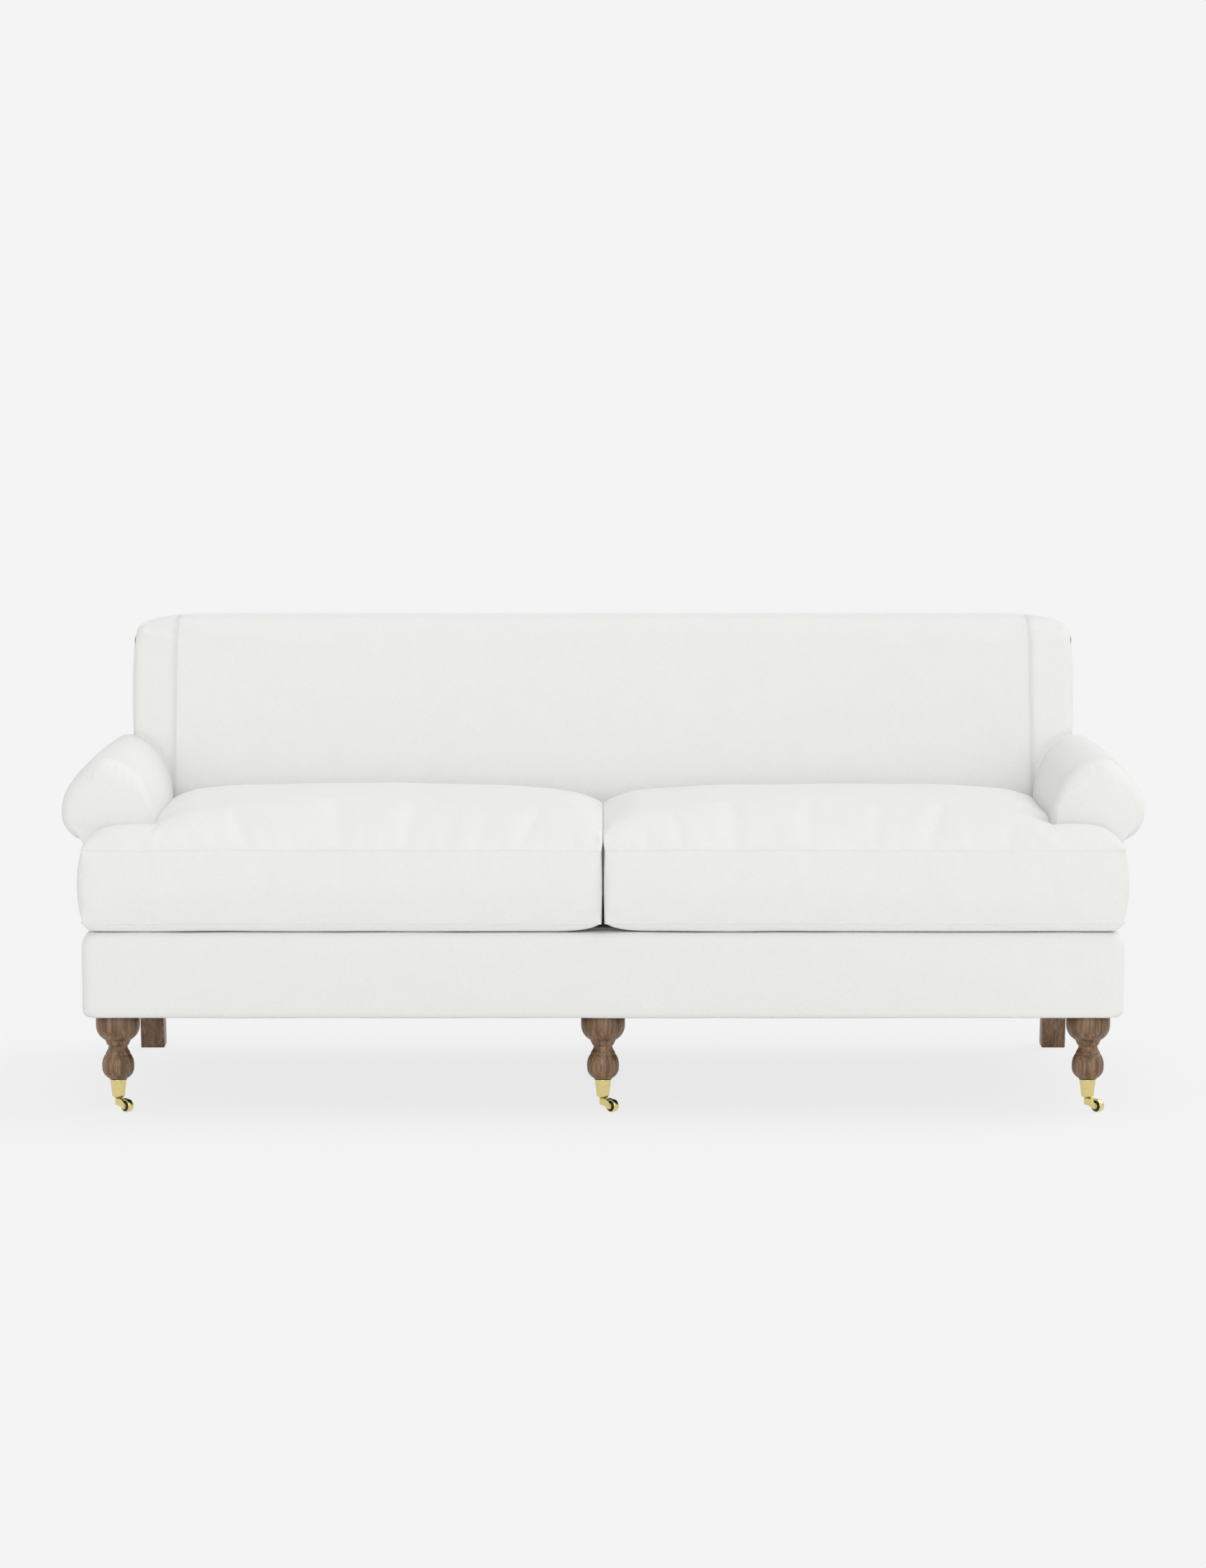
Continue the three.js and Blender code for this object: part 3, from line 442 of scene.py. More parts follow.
def settle(covers):
    """Blows each cover up against its own cloth, with the seams held."""
    before = [co_of(obj) for obj, *_ in covers]
    for obj, pressure, slack, _ in covers:
        cloth = obj.modifiers.new("Cloth", "CLOTH")
        values = {**cloth_values, "uniform_pressure_force": pressure, "shrink_min": -slack}
        for key, value in values.items():
            setattr(cloth.settings, key, value)
        cloth.settings.effector_weights.gravity = 0
        cloth.collision_settings.use_collision = False
    for number in range(1, settle_frames + 1):
        scene.frame_set(number)
    depsgraph = bpy.context.evaluated_depsgraph_get()
    for (obj, _, _, most), rest in zip(covers, before):
        shape = obj.evaluated_get(depsgraph).to_mesh()
        moved = np.zeros(len(shape.vertices) * 3)
        shape.vertices.foreach_get("co", moved)
        step = moved.reshape(-1, 3) - rest
        length = np.linalg.norm(step, axis=1, keepdims=True)
        obj.modifiers.remove(obj.modifiers["Cloth"])
        set_co(obj, rest + step * np.minimum(1, most / np.maximum(length, 1e-9)))
    scene.frame_set(1)


def tube(name, path, radius, material, sides=10):
    """A round cord of cloth along a closed line."""
    ahead = heading(path)
    side = np.cross(ahead, (0, 0, 1.0))
    side /= np.linalg.norm(side, axis=1, keepdims=True)
    up = np.cross(side, ahead)
    angle = angles(0, 360, sides + 1)[None, :, None]
    rings = path[:, None] + radius * (np.cos(angle) * side[:, None] + np.sin(angle) * up[:, None])
    shell = Shell()
    shell.strip(np.concatenate([rings, rings[:1]]))
    return shell.build(name, material)


def revolved(name, profile, material, sides, place):
    """A turned piece from (radius, height) points, closed on its axis or on itself."""
    angle = angles(0, 360, sides + 1)[:, None]
    radius, height = np.asarray(profile, float).T[:, None]
    shell = Shell()
    shell.strip(np.stack([radius * np.cos(angle), radius * np.sin(angle), height + 0 * angle], axis=-1))
    obj = shell.build(name, material)
    obj.data.transform(place)
    return obj


# Materials

class Graph:
    """The nodes of a material or world, each added and joined in one call."""

    def __init__(self, name, kind="Material"):
        owners = bpy.data.worlds if kind == "World" else bpy.data.materials
        self.owner = owners.new(name)
        self.owner.use_nodes = True
        self.tree = self.owner.node_tree
        self.tree.nodes.clear()
        self.output = self.tree.nodes.new("ShaderNodeOutput" + kind)

    def add(self, kind, inputs=None, out=0, **settings):
        node = self.tree.nodes.new("ShaderNode" + kind)
        for key, value in settings.items():
            setattr(node, key, value)
        for key, value in (inputs or {}).items():
            if isinstance(value, bpy.types.NodeSocket):
                self.tree.links.new(value, node.inputs[key])
            else:
                node.inputs[key].default_value = value
        return node.outputs[out]

    def math(self, operation, a, b=None, c=None):
        values = {0: a, 1: b, 2: c}
        inputs = {key: value for key, value in values.items() if value is not None}
        return self.add("Math", inputs, operation=operation)

    def noise(self, vector, scale, detail=2.0, roughness=0.5, size=(1, 1, 1)):
        placed = self.add("Mapping", {"Vector": vector, "Scale": size})
        inputs = {"Vector": placed, "Scale": scale, "Detail": detail, "Roughness": roughness}
        return self.add("TexNoise", inputs)

    def ramp(self, value, stops):
        """A colour or grey for each place along the value."""
        output = self.add("ValToRGB", {"Fac": value})
        ramp = output.node.color_ramp
        for _ in stops[2:]:
            ramp.elements.new(0.5)
        for element, (place, colour) in zip(ramp.elements, stops):
            element.position = place
            element.color = (*colour, 1)
        return output

    def finish(self, **inputs):
        named = {key.replace("_", " "): value for key, value in inputs.items()}
        return self.surface(self.add("BsdfPrincipled", named))

    def surface(self, shader):
        self.tree.links.new(shader, self.output.inputs["Surface"])
        return self.owner


def woven(name, colour, slub, mottle, pitch, height, sheen=0.2):
    """Plain-woven cloth: threads, thick and thin places in them, and a soft mottle."""
    g = Graph(name)
    cloth = g.add("UVMap", uv_map="cloth")
    drift = g.noise(cloth, 90.0, 2.0)
    bent = g.add("VectorMath", {0: drift, 1: (0.0012, 0.0012, 0.0)}, operation="MULTIPLY")
    threads = g.add("VectorMath", {0: cloth, 1: bent}, operation="ADD")
    parts = g.add("SeparateXYZ", {0: threads}).node.outputs
    across = g.math("SINE", g.math("MULTIPLY", parts[0], 2 * math.pi / pitch))
    along = g.math("SINE", g.math("MULTIPLY", parts[1], 2 * math.pi / pitch))
    weave = g.math("MULTIPLY", across, along)
    weft = g.noise(cloth, 1.0, 3.0, 0.55, (75, 620, 1))
    warp = g.noise(cloth, 1.0, 3.0, 0.55, (620, 75, 1))
    thick = g.math("ADD", weft, warp)
    blotch = g.noise(cloth, 230.0, 3.0, 0.6)
    cloud = g.noise(cloth, 14.0, 2.0)
    shade = g.math("MULTIPLY_ADD", thick, slub, 1 - slub)
    shade = g.math("MULTIPLY_ADD", blotch, mottle, shade)
    shade = g.math("MULTIPLY_ADD", cloud, mottle / 2, shade)
    shade = g.math("MULTIPLY_ADD", weave, 0.012, g.math("SUBTRACT", shade, 0.75 * mottle))
    tinted = g.add("VectorMath", {0: (*colour,), "Scale": shade}, operation="SCALE")
    relief = g.math("MULTIPLY_ADD", thick, 0.9, g.math("MULTIPLY", weave, 0.35))
    relief = g.math("MULTIPLY_ADD", blotch, 0.8, relief)
    bump = g.add("Bump", {"Height": relief, "Strength": 1.0, "Distance": height})
    rough = g.math("MULTIPLY_ADD", thick, 0.08, 0.82)
    return g.finish(Base_Color=tinted, Roughness=rough, Normal=bump, Sheen_Weight=sheen,
                    Sheen_Roughness=0.45, Specular_IOR_Level=0.25)


def wood(name, dark, middle, light, roughness, coat):
    """Straight-grained wood with fine pores, its grain upright."""
    g = Graph(name)
    place = g.add("TexCoord", out=3)
    figure = g.noise(place, 1.0, 2.0, 0.5, (95, 95, 5))
    streaks = g.noise(place, 1.0, 3.0, 0.6, (330, 330, 9))
    pores = g.noise(place, 1.0, 2.0, 0.5, (900, 900, 45))
    grain = g.math("MULTIPLY_ADD", streaks, 0.55, g.math("MULTIPLY", figure, 0.5))
    colour = g.ramp(grain, [(0.40, dark), (0.52, middle), (0.65, light)])
    pitted = g.ramp(pores, [(0.33, (0.55, 0.5, 0.46)), (0.45, (1, 1, 1))])
    colour = g.add("Mix", {0: 0.8, 6: colour, 7: pitted}, 2, data_type="RGBA", blend_type="MULTIPLY")
    bump = g.add("Bump", {"Height": pores, "Strength": 0.35, "Distance": 0.0004})
    rough = g.math("MULTIPLY_ADD", streaks, 0.2, roughness - 0.1)
    return g.finish(Base_Color=colour, Roughness=rough, Normal=bump, Coat_Weight=coat,
                    Coat_Roughness=0.22)


def metal(name, colour, worn, roughness, scratch):
    """Polished metal with fine scratches and a little tarnish."""
    g = Graph(name)
    place = g.add("TexCoord", out=3)
    scratches = g.noise(place, 1.0, 2.0, 0.6, (260, 260, 2600))
    tarnish = g.noise(place, 170.0, 3.0, 0.6)
    base = g.ramp(tarnish, [(0.35, worn), (0.6, colour)])
    rough = g.math("MULTIPLY_ADD", tarnish, 0.12, roughness - 0.05)
    bump = g.add("Bump", {"Height": scratches, "Strength": scratch, "Distance": 0.00006})
    return g.finish(Base_Color=base, Roughness=rough, Normal=bump, Metallic=1.0)


def moulded(name, colour):
    """Black moulded core with a faint grain."""
    g = Graph(name)
    place = g.add("TexCoord", out=3)
    grain = g.noise(place, 1500.0, 2.0)
    wear = g.noise(place, 240.0, 3.0)
    base = g.ramp(wear, [(0.3, colour), (0.8, tuple(c * 2.4 for c in colour))])
    bump = g.add("Bump", {"Height": grain, "Strength": 0.3, "Distance": 0.0001})
    return g.finish(Base_Color=base, Roughness=g.math("MULTIPLY_ADD", wear, 0.2, 0.35), Normal=bump)


linen = woven("linen", (0.842, 0.844, 0.820), 0.06, 0.06, 0.0014, 0.00022)
deck_cloth = woven("deck_cloth", (0.70, 0.68, 0.62), 0.05, 0.05, 0.0009, 0.00015, 0.05)
dust_cloth = woven("dust_cloth", (0.012, 0.012, 0.013), 0.3, 0.3, 0.0007, 0.0001, 0.0)
walnut = wood("walnut", (0.098, 0.050, 0.023), (0.178, 0.099, 0.047), (0.300, 0.180, 0.090), 0.46, 0.10)
oak = wood("oak", (0.30, 0.19, 0.10), (0.44, 0.30, 0.17), (0.55, 0.40, 0.25), 0.75, 0.0)
brass = metal("brass", (0.79, 0.67, 0.30), (0.73, 0.61, 0.265), 0.2, 0.10)
steel = metal("steel", (0.45, 0.46, 0.47), (0.32, 0.33, 0.33), 0.38, 0.5)
black_core = moulded("black_core", (0.006, 0.006, 0.006))


# Camera, floor and light

photo_width, photo_height = 1680, 2185
focal_pixels = 7228.5
camera_distance = 10.0
camera_height = 1.7083
camera_pitch = 6.039
sensor = 36.0


def add_camera():
    camera = bpy.data.cameras.new("camera")
    camera.sensor_width = sensor
    camera.lens = focal_pixels * sensor / max(photo_width, photo_height)
    camera.clip_end = 100
    scene.camera = added("camera", camera)
    scene.camera.location = (0, front - camera_distance, camera_height)
    scene.camera.rotation_euler = (math.radians(90 - camera_pitch), 0, 0)


backdrop_level = 0.905
ambient_level = 0.693
floor_size = 60.0
floor_clear_from = 2.4
floor_clear_to = 4.4
floor_calm = 0.875
lamp_spread = 50


def seen_rays(g):
    """1 where the background itself is seen, directly or in a reflection."""
    path = g.add("LightPath").node.outputs
    total = path["Is Camera Ray"]
    for kind in ("Is Glossy Ray", "Is Transmission Ray"):
        total = g.math("MAXIMUM", total, path[kind])
    return total


def grey(level):
    return (level, level, level, 1)


def add_world():
    g = Graph("studio", "World")
    lit = g.add("Background", {"Color": grey(ambient_level)})
    seen = g.add("Background", {"Color": grey(backdrop_level)})
    scene.world = g.surface(g.add("MixShader", {0: seen_rays(g), 1: lit, 2: seen}))


def add_floor():
    """A pale floor that keeps the sofa's shadow and runs out into the background."""
    g = Graph("floor")
    place = g.add("TexCoord", out=3)
    stretched = g.add("Mapping", {"Vector": place, "Scale": (0.72, 1.0, 1.0)})
    far = g.add("VectorMath", {0: stretched}, out=1, operation="LENGTH")
    clear = g.add("MapRange", {"Value": far, "From Min": floor_clear_from, "From Max": floor_clear_to},
                  interpolation_type="SMOOTHSTEP")
    speck = g.noise(place, 35.0, 3.0)
    tone = g.ramp(speck, [(0.3, (0.875, 0.875, 0.875)), (0.7, (0.885, 0.885, 0.885))])
    near = g.add("BsdfDiffuse", {"Color": tone})
    away = g.add("Emission", {"Color": grey(backdrop_level), "Strength": 1.0})
    calm = g.math("MULTIPLY_ADD", clear, 1 - floor_calm, floor_calm)
    share = g.math("MULTIPLY", calm, seen_rays(g))
    half = floor_size / 2
    corners = [(-half, -half, 0), (half, -half, 0), (half, half, 0), (-half, half, 0)]
    mesh = flat_mesh("floor", corners, [(0, 1, 2, 3)])
    mesh.materials.append(g.surface(g.add("MixShader", {0: share, 1: near, 2: away})))
    added("floor", mesh)


def add_sun(name, azimuth, elevation, strength):
    """A distant soft lamp; azimuth 0 is straight in front and 90 to the sofa's left, at +X."""
    lamp = bpy.data.lights.new(name, "SUN")
    lamp.energy = strength
    lamp.angle = math.radians(lamp_spread)
    a, e = math.radians(azimuth), math.radians(elevation)
    place = Vector((math.sin(a) * math.cos(e), -math.cos(a) * math.cos(e), math.sin(e)))
    added(name, lamp).rotation_euler = place.to_track_quat("Z", "Y").to_euler()


# Seat cushions

def blended(*edges):
    """The distance to the nearest of several edges, rounded where two are equally near."""
    return (np.maximum(np.stack(edges), 1e-6) ** -3.0).sum(axis=0) ** (-1 / 3)


def smooth(share):
    share = np.clip(share, 0, 1)
    return share * share * (3 - 2 * share)


def filling(distance, crowding, step, slope):
    """How full a cushion is at a distance from an edge that stands against something."""
    return crowding + step * (1 - np.exp(-np.maximum(distance, 0) / edge_run)) + slope * distance


def inner_face(d):
    """Half width between the arms at a depth, just above the cushions' welts."""
    return seat_half - roll_bulge * smooth((d - arm_front + front - nose_depth) / bulge_run)


def crown_height(x, d):
    """How far the top of a cushion rises above its welts, with more filling by the arm, by the
    other cushion and at the back than at the free edges."""
    by_arm = filling(np.maximum(cushion_side - x, 0), *arm_filling) - arm_filling[0]
    notch = np.hypot(by_arm, np.maximum(ear_rear - d, 0) * ear_flatness)
    extra = (arm_filling[0] - ear_crowding) * smooth((d - ear_rear) / crowding_run)
    inside = blended(
        d * front_fullness, filling(x - split_half, *split_filling),
        cushion_rear - d + rear_crowding, notch + ear_crowding + extra,
        (ear_side - x) * ear_fullness + ear_side_crowding * smooth(d / ear_side_run))
    return crown * (1 - np.exp(-inside / crown_reach))


def corner_pull(x, d):
    """How far the welts' corners are drawn: out at the ears, in beside the other cushion."""
    corners = [
        (ear_side, 0.0, ear_pull, -ear_pull), (ear_side, ear_rear, ear_pull, 0.0),
        (split_half, 0.0, split_tuck, split_tuck),
        (split_half, cushion_rear, split_tuck, -split_tuck),
    ]
    pull = np.zeros((*np.shape(x), 2))
    for corner_x, corner_d, pull_x, pull_d in corners:
        near = bell(np.hypot(x - corner_x, d - corner_d), corner_reach)
        pull += near[..., None] * (pull_x, pull_d)
    return pull


def top_place(x, d, seed):
    """Where a place on the top of a cushion lies, drawn in from the edges that rise above a welt."""
    rise = crown_height(x, d)
    risen = 1 - np.exp(-rise / shoulder_fade)

    def near(distance, reach=shoulder_reach):
        return reach * risen * np.exp(-distance / shoulder_spread)

    by_split, by_back = near(x - split_half, split_press), near(cushion_rear - d)
    room = (inner_face(d) - 2 * fit - cushion_side) * press_share
    by_arm = near(np.hypot(cushion_side - x, np.maximum(ear_rear - d, 0)), room)
    by_facing = near(np.hypot(np.maximum(cushion_side - x, 0), ear_rear - d))
    pull = corner_pull(x, d)
    pull[..., 0] *= 1 - risen * (x < 2 * corner_reach)
    height = deck_top + boxing_lift + boxing_height + rise + welt_waver * wave(x, d, waver_run, seed)
    return np.stack([x - by_split + by_arm + pull[..., 0],
                     d - by_facing - by_back + pull[..., 1] + front, height], axis=-1)


def underside_place(x, d, seed):
    """Where a place on the underside of a cushion lies, lifted a little beside the other one."""
    notch = np.hypot(np.maximum(cushion_side - x, 0), np.maximum(ear_rear - d, 0))
    inside = blended(d, (x - split_half) * split_lift_share, cushion_rear - d, notch, ear_side - x)
    drop = (boxing_lift - fit) * (1 - np.exp(-inside / underside_reach))
    pull = corner_pull(x, d)
    height = deck_top + boxing_lift - drop + welt_waver / 2 * wave(x, d, waver_run, seed)
    return np.stack([x + pull[..., 0], d + pull[..., 1] + front, height], axis=-1)


def cushion_edge(main, ear, ear_rows, body_rows):
    """The edge of the cushion in plan, once round, with how far each place swells between the
    welts, how far it presses out above them, and whether its welt shows."""
    free = (swell, 0.0, 1.0)
    by_back, by_facing = (rear_gap / 2, rear_gap / 2, 0.0), (ear_gap - 2 * fit, ear_gap - 2 * fit, 0.0)
    by_cushion = (0.0, split_press, 0.0)
    line = [(x, 0.0, *free) for x in (*main[:-1], *ear[:-1])]
    line += [(ear[-1], d, *free) for d in ear_rows[:-1]]
    line += [(x, ear_rows[-1], *by_facing) for x in ear[:0:-1]]
    line += [(main[-1], d, swell_by_arm, inner_face(d) - 2 * fit - main[-1], 0.0) for d in body_rows[:-1]]
    line += [(x, body_rows[-1], *by_back) for x in main[:0:-1]]
    line += [(main[0], d, *by_cushion) for d in (*body_rows[:0:-1], *ear_rows[:0:-1])]
    return np.array(line)


def add_cushion(name, sign, seed):
    main, ear = (eased(a, b, fabric_step) for a, b in ((split_half, cushion_side), (cushion_side, ear_side)))
    ear_rows, body_rows = (eased(a, b, fabric_step) for a, b in ((0, ear_rear), (ear_rear, cushion_rear)))
    rows = np.concatenate([ear_rows, body_rows[1:]])
    shell = Shell()
    for xs, ds in ((main, rows), (ear, ear_rows)):
        x, d = np.meshgrid(xs, ds)
        for place in (top_place, underside_place):
            sheet = place(x, d, seed)
            shell.grid(sheet, sheet[..., :2])

    # Boxing, rounded at its corners between the welts
    edge = cushion_edge(main, ear, ear_rows, body_rows)
    plan = edge[:, :2]
    run = run_of(np.concatenate([plan, plan[:1]]))
    apart = np.abs(run[:-1, None] - run[None, :-1])
    apart = np.minimum(apart, run[-1] - apart)
    weight = bell(apart, boxing_rounding) * np.gradient(run)[None, :-1]
    weight /= weight.sum(axis=1, keepdims=True)
    soft = weight @ plan
    swells, press, shown = (weight @ edge[:, 2:]).T
    outward = heading(soft)[:, ::-1] * (1, -1)
    pull = corner_pull(*plan.T)
    waver = welt_waver * wave(*plan.T, waver_run, seed)
    low = deck_top + boxing_lift + waver / 2
    high = deck_top + boxing_lift + boxing_height + waver
    rings = []
    for share in eased(0, 1, 1 / 13, 0.5):
        bow = math.sin(math.pi * share)
        place = plan + (soft - plan) * bow ** 0.5 + pull * (1 - bow) ** 2
        place = place + outward * (swells * bow)[:, None]
        height = low + (high - low) * share
        rings.append(np.column_stack([place[:, 0], place[:, 1] + front, height]))
    boxing = np.array(rings)

    # Shoulder between the upper welt and the top, where the filling stands against something
    foot, rim = boxing[-1], top_place(*plan.T, seed)
    rise = rim[:, 2] - foot[:, 2]
    inward = np.linalg.norm(rim[:, :2] - foot[:, :2], axis=1)
    out = press * smooth(rise / (2 * shoulder_fade))
    corner = foot + np.column_stack([outward * out[:, None], rise - shoulder_slope * inward])
    shoulder = bezier(foot, foot + 0.8 * (corner - foot), rim + 0.6 * (corner - rim), rim, count=8)
    for strip in (boxing, shoulder):
        closed = np.concatenate([strip, strip[:, :1]], axis=1)
        shell.grid(closed, plane(run, closed[:, 0, 2]))
    pad = shell.build(f"{name}_cover", linen, sign)

    # Seams stay put, as do the sides that no one sees
    co = co_of(pad) * (sign, 1, 1)
    x, y, z = co.T
    held = z < deck_top + boxing_lift - fit
    for ring in (boxing[0], *shoulder):
        held |= nearest(co, ring) < 2 * weld
    held |= (y > arm_front - 2 * ear_gap) & (z < high.max() - fit)
    held |= (x < split_hold * split_half) & (z < high.max() + fit)
    hold(pad, held)

    # Welts, which sink between the cushion and what it stands against
    seat = welt_radius * (0.8 * shown - 1.2)
    pieces = [pad]
    for label, ring in (("top_welt", boxing[-1]), ("bottom_welt", boxing[0])):
        line = ring + np.column_stack([outward * seat[:, None], np.zeros(len(seat))])
        pieces.append(tube(f"{name}_{label}", line * (sign, 1, 1), welt_radius, linen))
    return pieces


# Arms

def arm_section(inset=0.0, top_inset=0.0, hollow=False, bulge=0.0):
    """Four lines round an arm: inside, top, outside and lower edge, in width and height."""
    low = pad_bottom
    rail_half, post_inner = board_high[0] + fit, board_low[0] - fit
    widest_z = roll_bottom + fit + scroll_height
    outermost = arm_half + roll_reach
    crest = (seat_half + crest_width, roll_top - crest_height)
    reach = crest_width + bulge
    rise = bezier((seat_half, crest[1] - bulge_rise), (seat_half, crest[1] - 0.6 * bulge_rise),
                  (seat_half - bulge, crest[1] - 0.4 * bulge_rise), (seat_half - bulge, crest[1]))
    inside = np.concatenate([[(seat_half, low)], rise, arc(*crest, reach, crest_height, 180, 130)[1:]])
    over = arc(*crest, reach, crest_height, 130, 90)
    shoulder = (outermost - shoulder_radius * (1 - math.sqrt(0.5)),
                widest_z + shoulder_radius * math.sqrt(0.5))
    slope = bezier((crest[0], roll_top), (sum(shoulder) - roll_top, roll_top), shoulder)
    top = np.concatenate([over, slope[1:]])
    turn = arc(outermost - shoulder_radius, widest_z, shoulder_radius, shoulder_radius, 45, 0)
    angle = angles(0, 90, 25)[1:]
    under_x = outermost - scroll_width * (1 - np.cos(angle) ** (2 / scroll_power))
    under_z = widest_z - scroll_height * np.sin(angle) ** (2 / scroll_power)
    end = (rail_half, roll_bottom + fit)
    outside = np.concatenate([turn, np.column_stack([under_x, under_z]), [end]])
    if hollow:
        rest = [end, (rail_half, board_high[2] + fit), (post_inner, board_high[2] + fit),
                (post_inner, low), (seat_half, low)]
    else:
        rest = [end, (rail_half, low), (seat_half, low)]
    lines = [resampled(line, n) for line, n in zip((inside, top, outside, rest), arm_counts)]
    middle_x = (seat_half + arm_half) / 2
    shaped = []
    for x, z in (line.T for line in lines):
        free = np.where(x > middle_x, smooth((x - rail_half) / rail_fade), 1)
        sideways = (x - middle_x) / (arm_half - middle_x) * free
        upwards = np.maximum(z - widest_z, 0) / (roll_top - widest_z)
        downwards = np.maximum(widest_z - z, 0) / scroll_height * np.where(x > middle_x, free, 0)
        sideways = np.where(x < middle_x, facing_inner_share, 1) * sideways
        shaped.append(np.column_stack([x - inset * sideways,
                                       z - top_inset * upwards + inset * np.minimum(downwards, 1)]))
    return shaped


def joined(section):
    """A section's four lines as one closed line."""
    return np.concatenate([section[0]] + [line[1:] for line in section[1:]])


def ring_of(section, depth):
    x, z = joined(section).T
    return np.column_stack([x, np.full(len(x), depth), z])


def nose_ring(section, turn):
    """A ring of the arm's front, which is rounder outside and above than beside the cushion."""
    ring = ring_of(section, arm_front)
    outward = smooth((ring[:, 0] - seat_half) / (arm_half - seat_half))
    upward = smooth((ring[:, 2] - roll_bottom - scroll_height) / scroll_height)
    share = np.maximum(outward, upward)
    ring[:, 1] += (inner_rounding + (nose_depth - inner_rounding) * share) * turn
    return ring


def filled(section, ring):
    """A grid that fills the ring made from a section's four lines."""
    cuts = np.cumsum([0] + [len(line) - 1 for line in section])
    left, top, right, bottom = (ring[a:b + 1] for a, b in zip(cuts, cuts[1:]))
    return coons(left, top, right[::-1], bottom[::-1])


def end_patch(section, ring, dome):
    """The face that closes an arm's end, domed towards its middle."""
    patch = filled(section, ring)
    rows, columns = patch.shape[:2]
    above_seat = smooth((patch[..., 2] - roll_bottom) / scroll_height)
    patch[..., 1] += dome * hump(columns)[None] * hump(rows)[:, None] * above_seat
    return patch


def crease(obj):
    """Draws the arm's cloth in along the line where the back stands on it."""
    co = co_of(obj)
    x, y, z = co.T
    near = bell(back_face(z) + front - y, crease_reach) * smooth((back_half - np.abs(x)) / rail_fade + 1)
    near *= smooth((z - deck_top - boxing_height) / crease_fade)
    set_co(obj, co - co_of(obj, "normal") * near[:, None] * crease_depth)


def add_arm(name, sign):
    rings = []
    for degrees in (facing_turn - 4, facing_turn - 2, *np.linspace(facing_turn, 90, 11)):
        angle = math.radians(degrees)
        share = 1 - math.sin(angle)
        section = arm_section(facing_side_inset * share, facing_top_inset * share)
        rings.append(nose_ring(section, 1 - math.cos(angle)))
        if len(rings) == 1:
            facing = section
    groove = rings[1]
    groove[:, 1] += seam_depth * smooth((seat_half + groove_reach - groove[:, 0]) / groove_fade)
    inner_depth = arm_front + nose_depth
    rear = arm_rear - tail_depth
    rings.append(ring_of(arm_section(), inner_depth + fit))
    for depth in eased(inner_depth + 4 * fit, rear - 4 * fit, fabric_step, 0.2):
        bulge = roll_bulge * smooth((depth - inner_depth) / bulge_run)
        rings.append(ring_of(arm_section(hollow=True, bulge=bulge), depth))
    rings.append(ring_of(arm_section(bulge=roll_bulge), rear - fit))
    for angle in angles(0, 90, 10):
        inset = tail_inset * (1 - math.cos(angle))
        section = arm_section(inset, inset, bulge=roll_bulge)
        rings.append(ring_of(section, rear + tail_depth * math.sin(angle)))
    shell = Shell()
    shell.strip(np.array(rings))
    for patch in (end_patch(facing, rings[0], -facing_dome), end_patch(section, rings[-1], 0.0)):
        shell.grid(patch, patch[..., (0, 2)])
    pad = shell.build(name, linen, sign)
    crease(pad)
    co = co_of(pad) * (sign, 1, 1)
    x, y, z = co.T
    inner = (x > board_low[0] - 2 * fit) & (x < board_high[0] + 2 * fit)
    inner &= (z < board_high[2] + 2 * fit) & (y > arm_front + side_padding)
    behind = (y > rear - fit) | (np.abs(back_face(z) + front - y) < 2 * crease_reach)
    hold(pad, (nearest(co, groove) < 2 * weld) | inner | behind | (z < pad_bottom + arm_hold_height))
    return pad


# Back

def outside_depth(z):
    """Depth of the outside back at a height."""
    share = (rear_top - z) / (rear_top - base_bottom)
    return rear_face - front - rear_lean * share


def back_face(z):
    """Depth of the front of the back at a height."""
    top = back_top - crest_front
    share = (z - pad_bottom) / (top - pad_bottom)
    reach = rear_face - front - back_top_thickness
    return seat_depth + (reach - seat_depth) * share - back_crown * np.sin(np.pi * share)


def falloff(place, reach, size):
    """How far the rounding towards the side seam has fallen away at a width."""
    share = np.clip((abs(place) - back_seam_half + reach) / reach, 0, 1)
    return size * (1 - (1 - share ** rounding_power) ** (1 / rounding_power))


def back_section(x, low, sink=0.0):
    """Four lines round the back at a width: face, top, rear and lower edge, in depth and height."""
    face_inset = falloff(x, back_face_ease, back_face_round) + sink
    top_inset = falloff(x, back_top_ease, back_top_round) + sink
    crest = back_top + back_crest_rise
    face_top = crest - crest_front
    heights = np.concatenate([np.linspace(low, roll_bottom + 0.004, 24)[:-1],
                              np.linspace(roll_bottom + 0.004, face_top, 61)])
    face = np.column_stack([back_face(heights) + face_inset, heights])
    front_centre = back_face(face_top) + crest_front
    over = arc(front_centre, face_top, crest_front - face_inset, crest_front - top_inset, 180, 90)
    skin = outside_skin + fit + face_inset * rear_tuck_share
    rear_centre = outside_depth(rear_top) - skin - crest_rear
    behind = arc(rear_centre, rear_top - back_rear_drop, crest_rear,
                 crest_rear - top_inset, 68, 0)
    middle = bezier(over[-1], ((front_centre + behind[0][0]) / 2, crest - top_inset), behind[0])
    if abs(x) < post_high[0] - outer_padding:
        lid = post_high[2] + fit
        rear = [behind[-1], (outside_depth(lid) - skin, lid), (outside_depth(lid) - post_reach, lid),
                (outside_depth(low) - post_reach, low)]
    else:
        rear = [behind[-1], (outside_depth(low) - skin, low)]
    floor = [rear[-1], face[0]]
    top = np.concatenate([over, middle[1:-1], behind])
    return [face, resampled(top, 30), resampled(rear, len(face)), resampled(floor, 30)]


def back_ring(x, section):
    d, z = joined(section).T
    return np.column_stack([np.full(len(d), x), d + front, z])


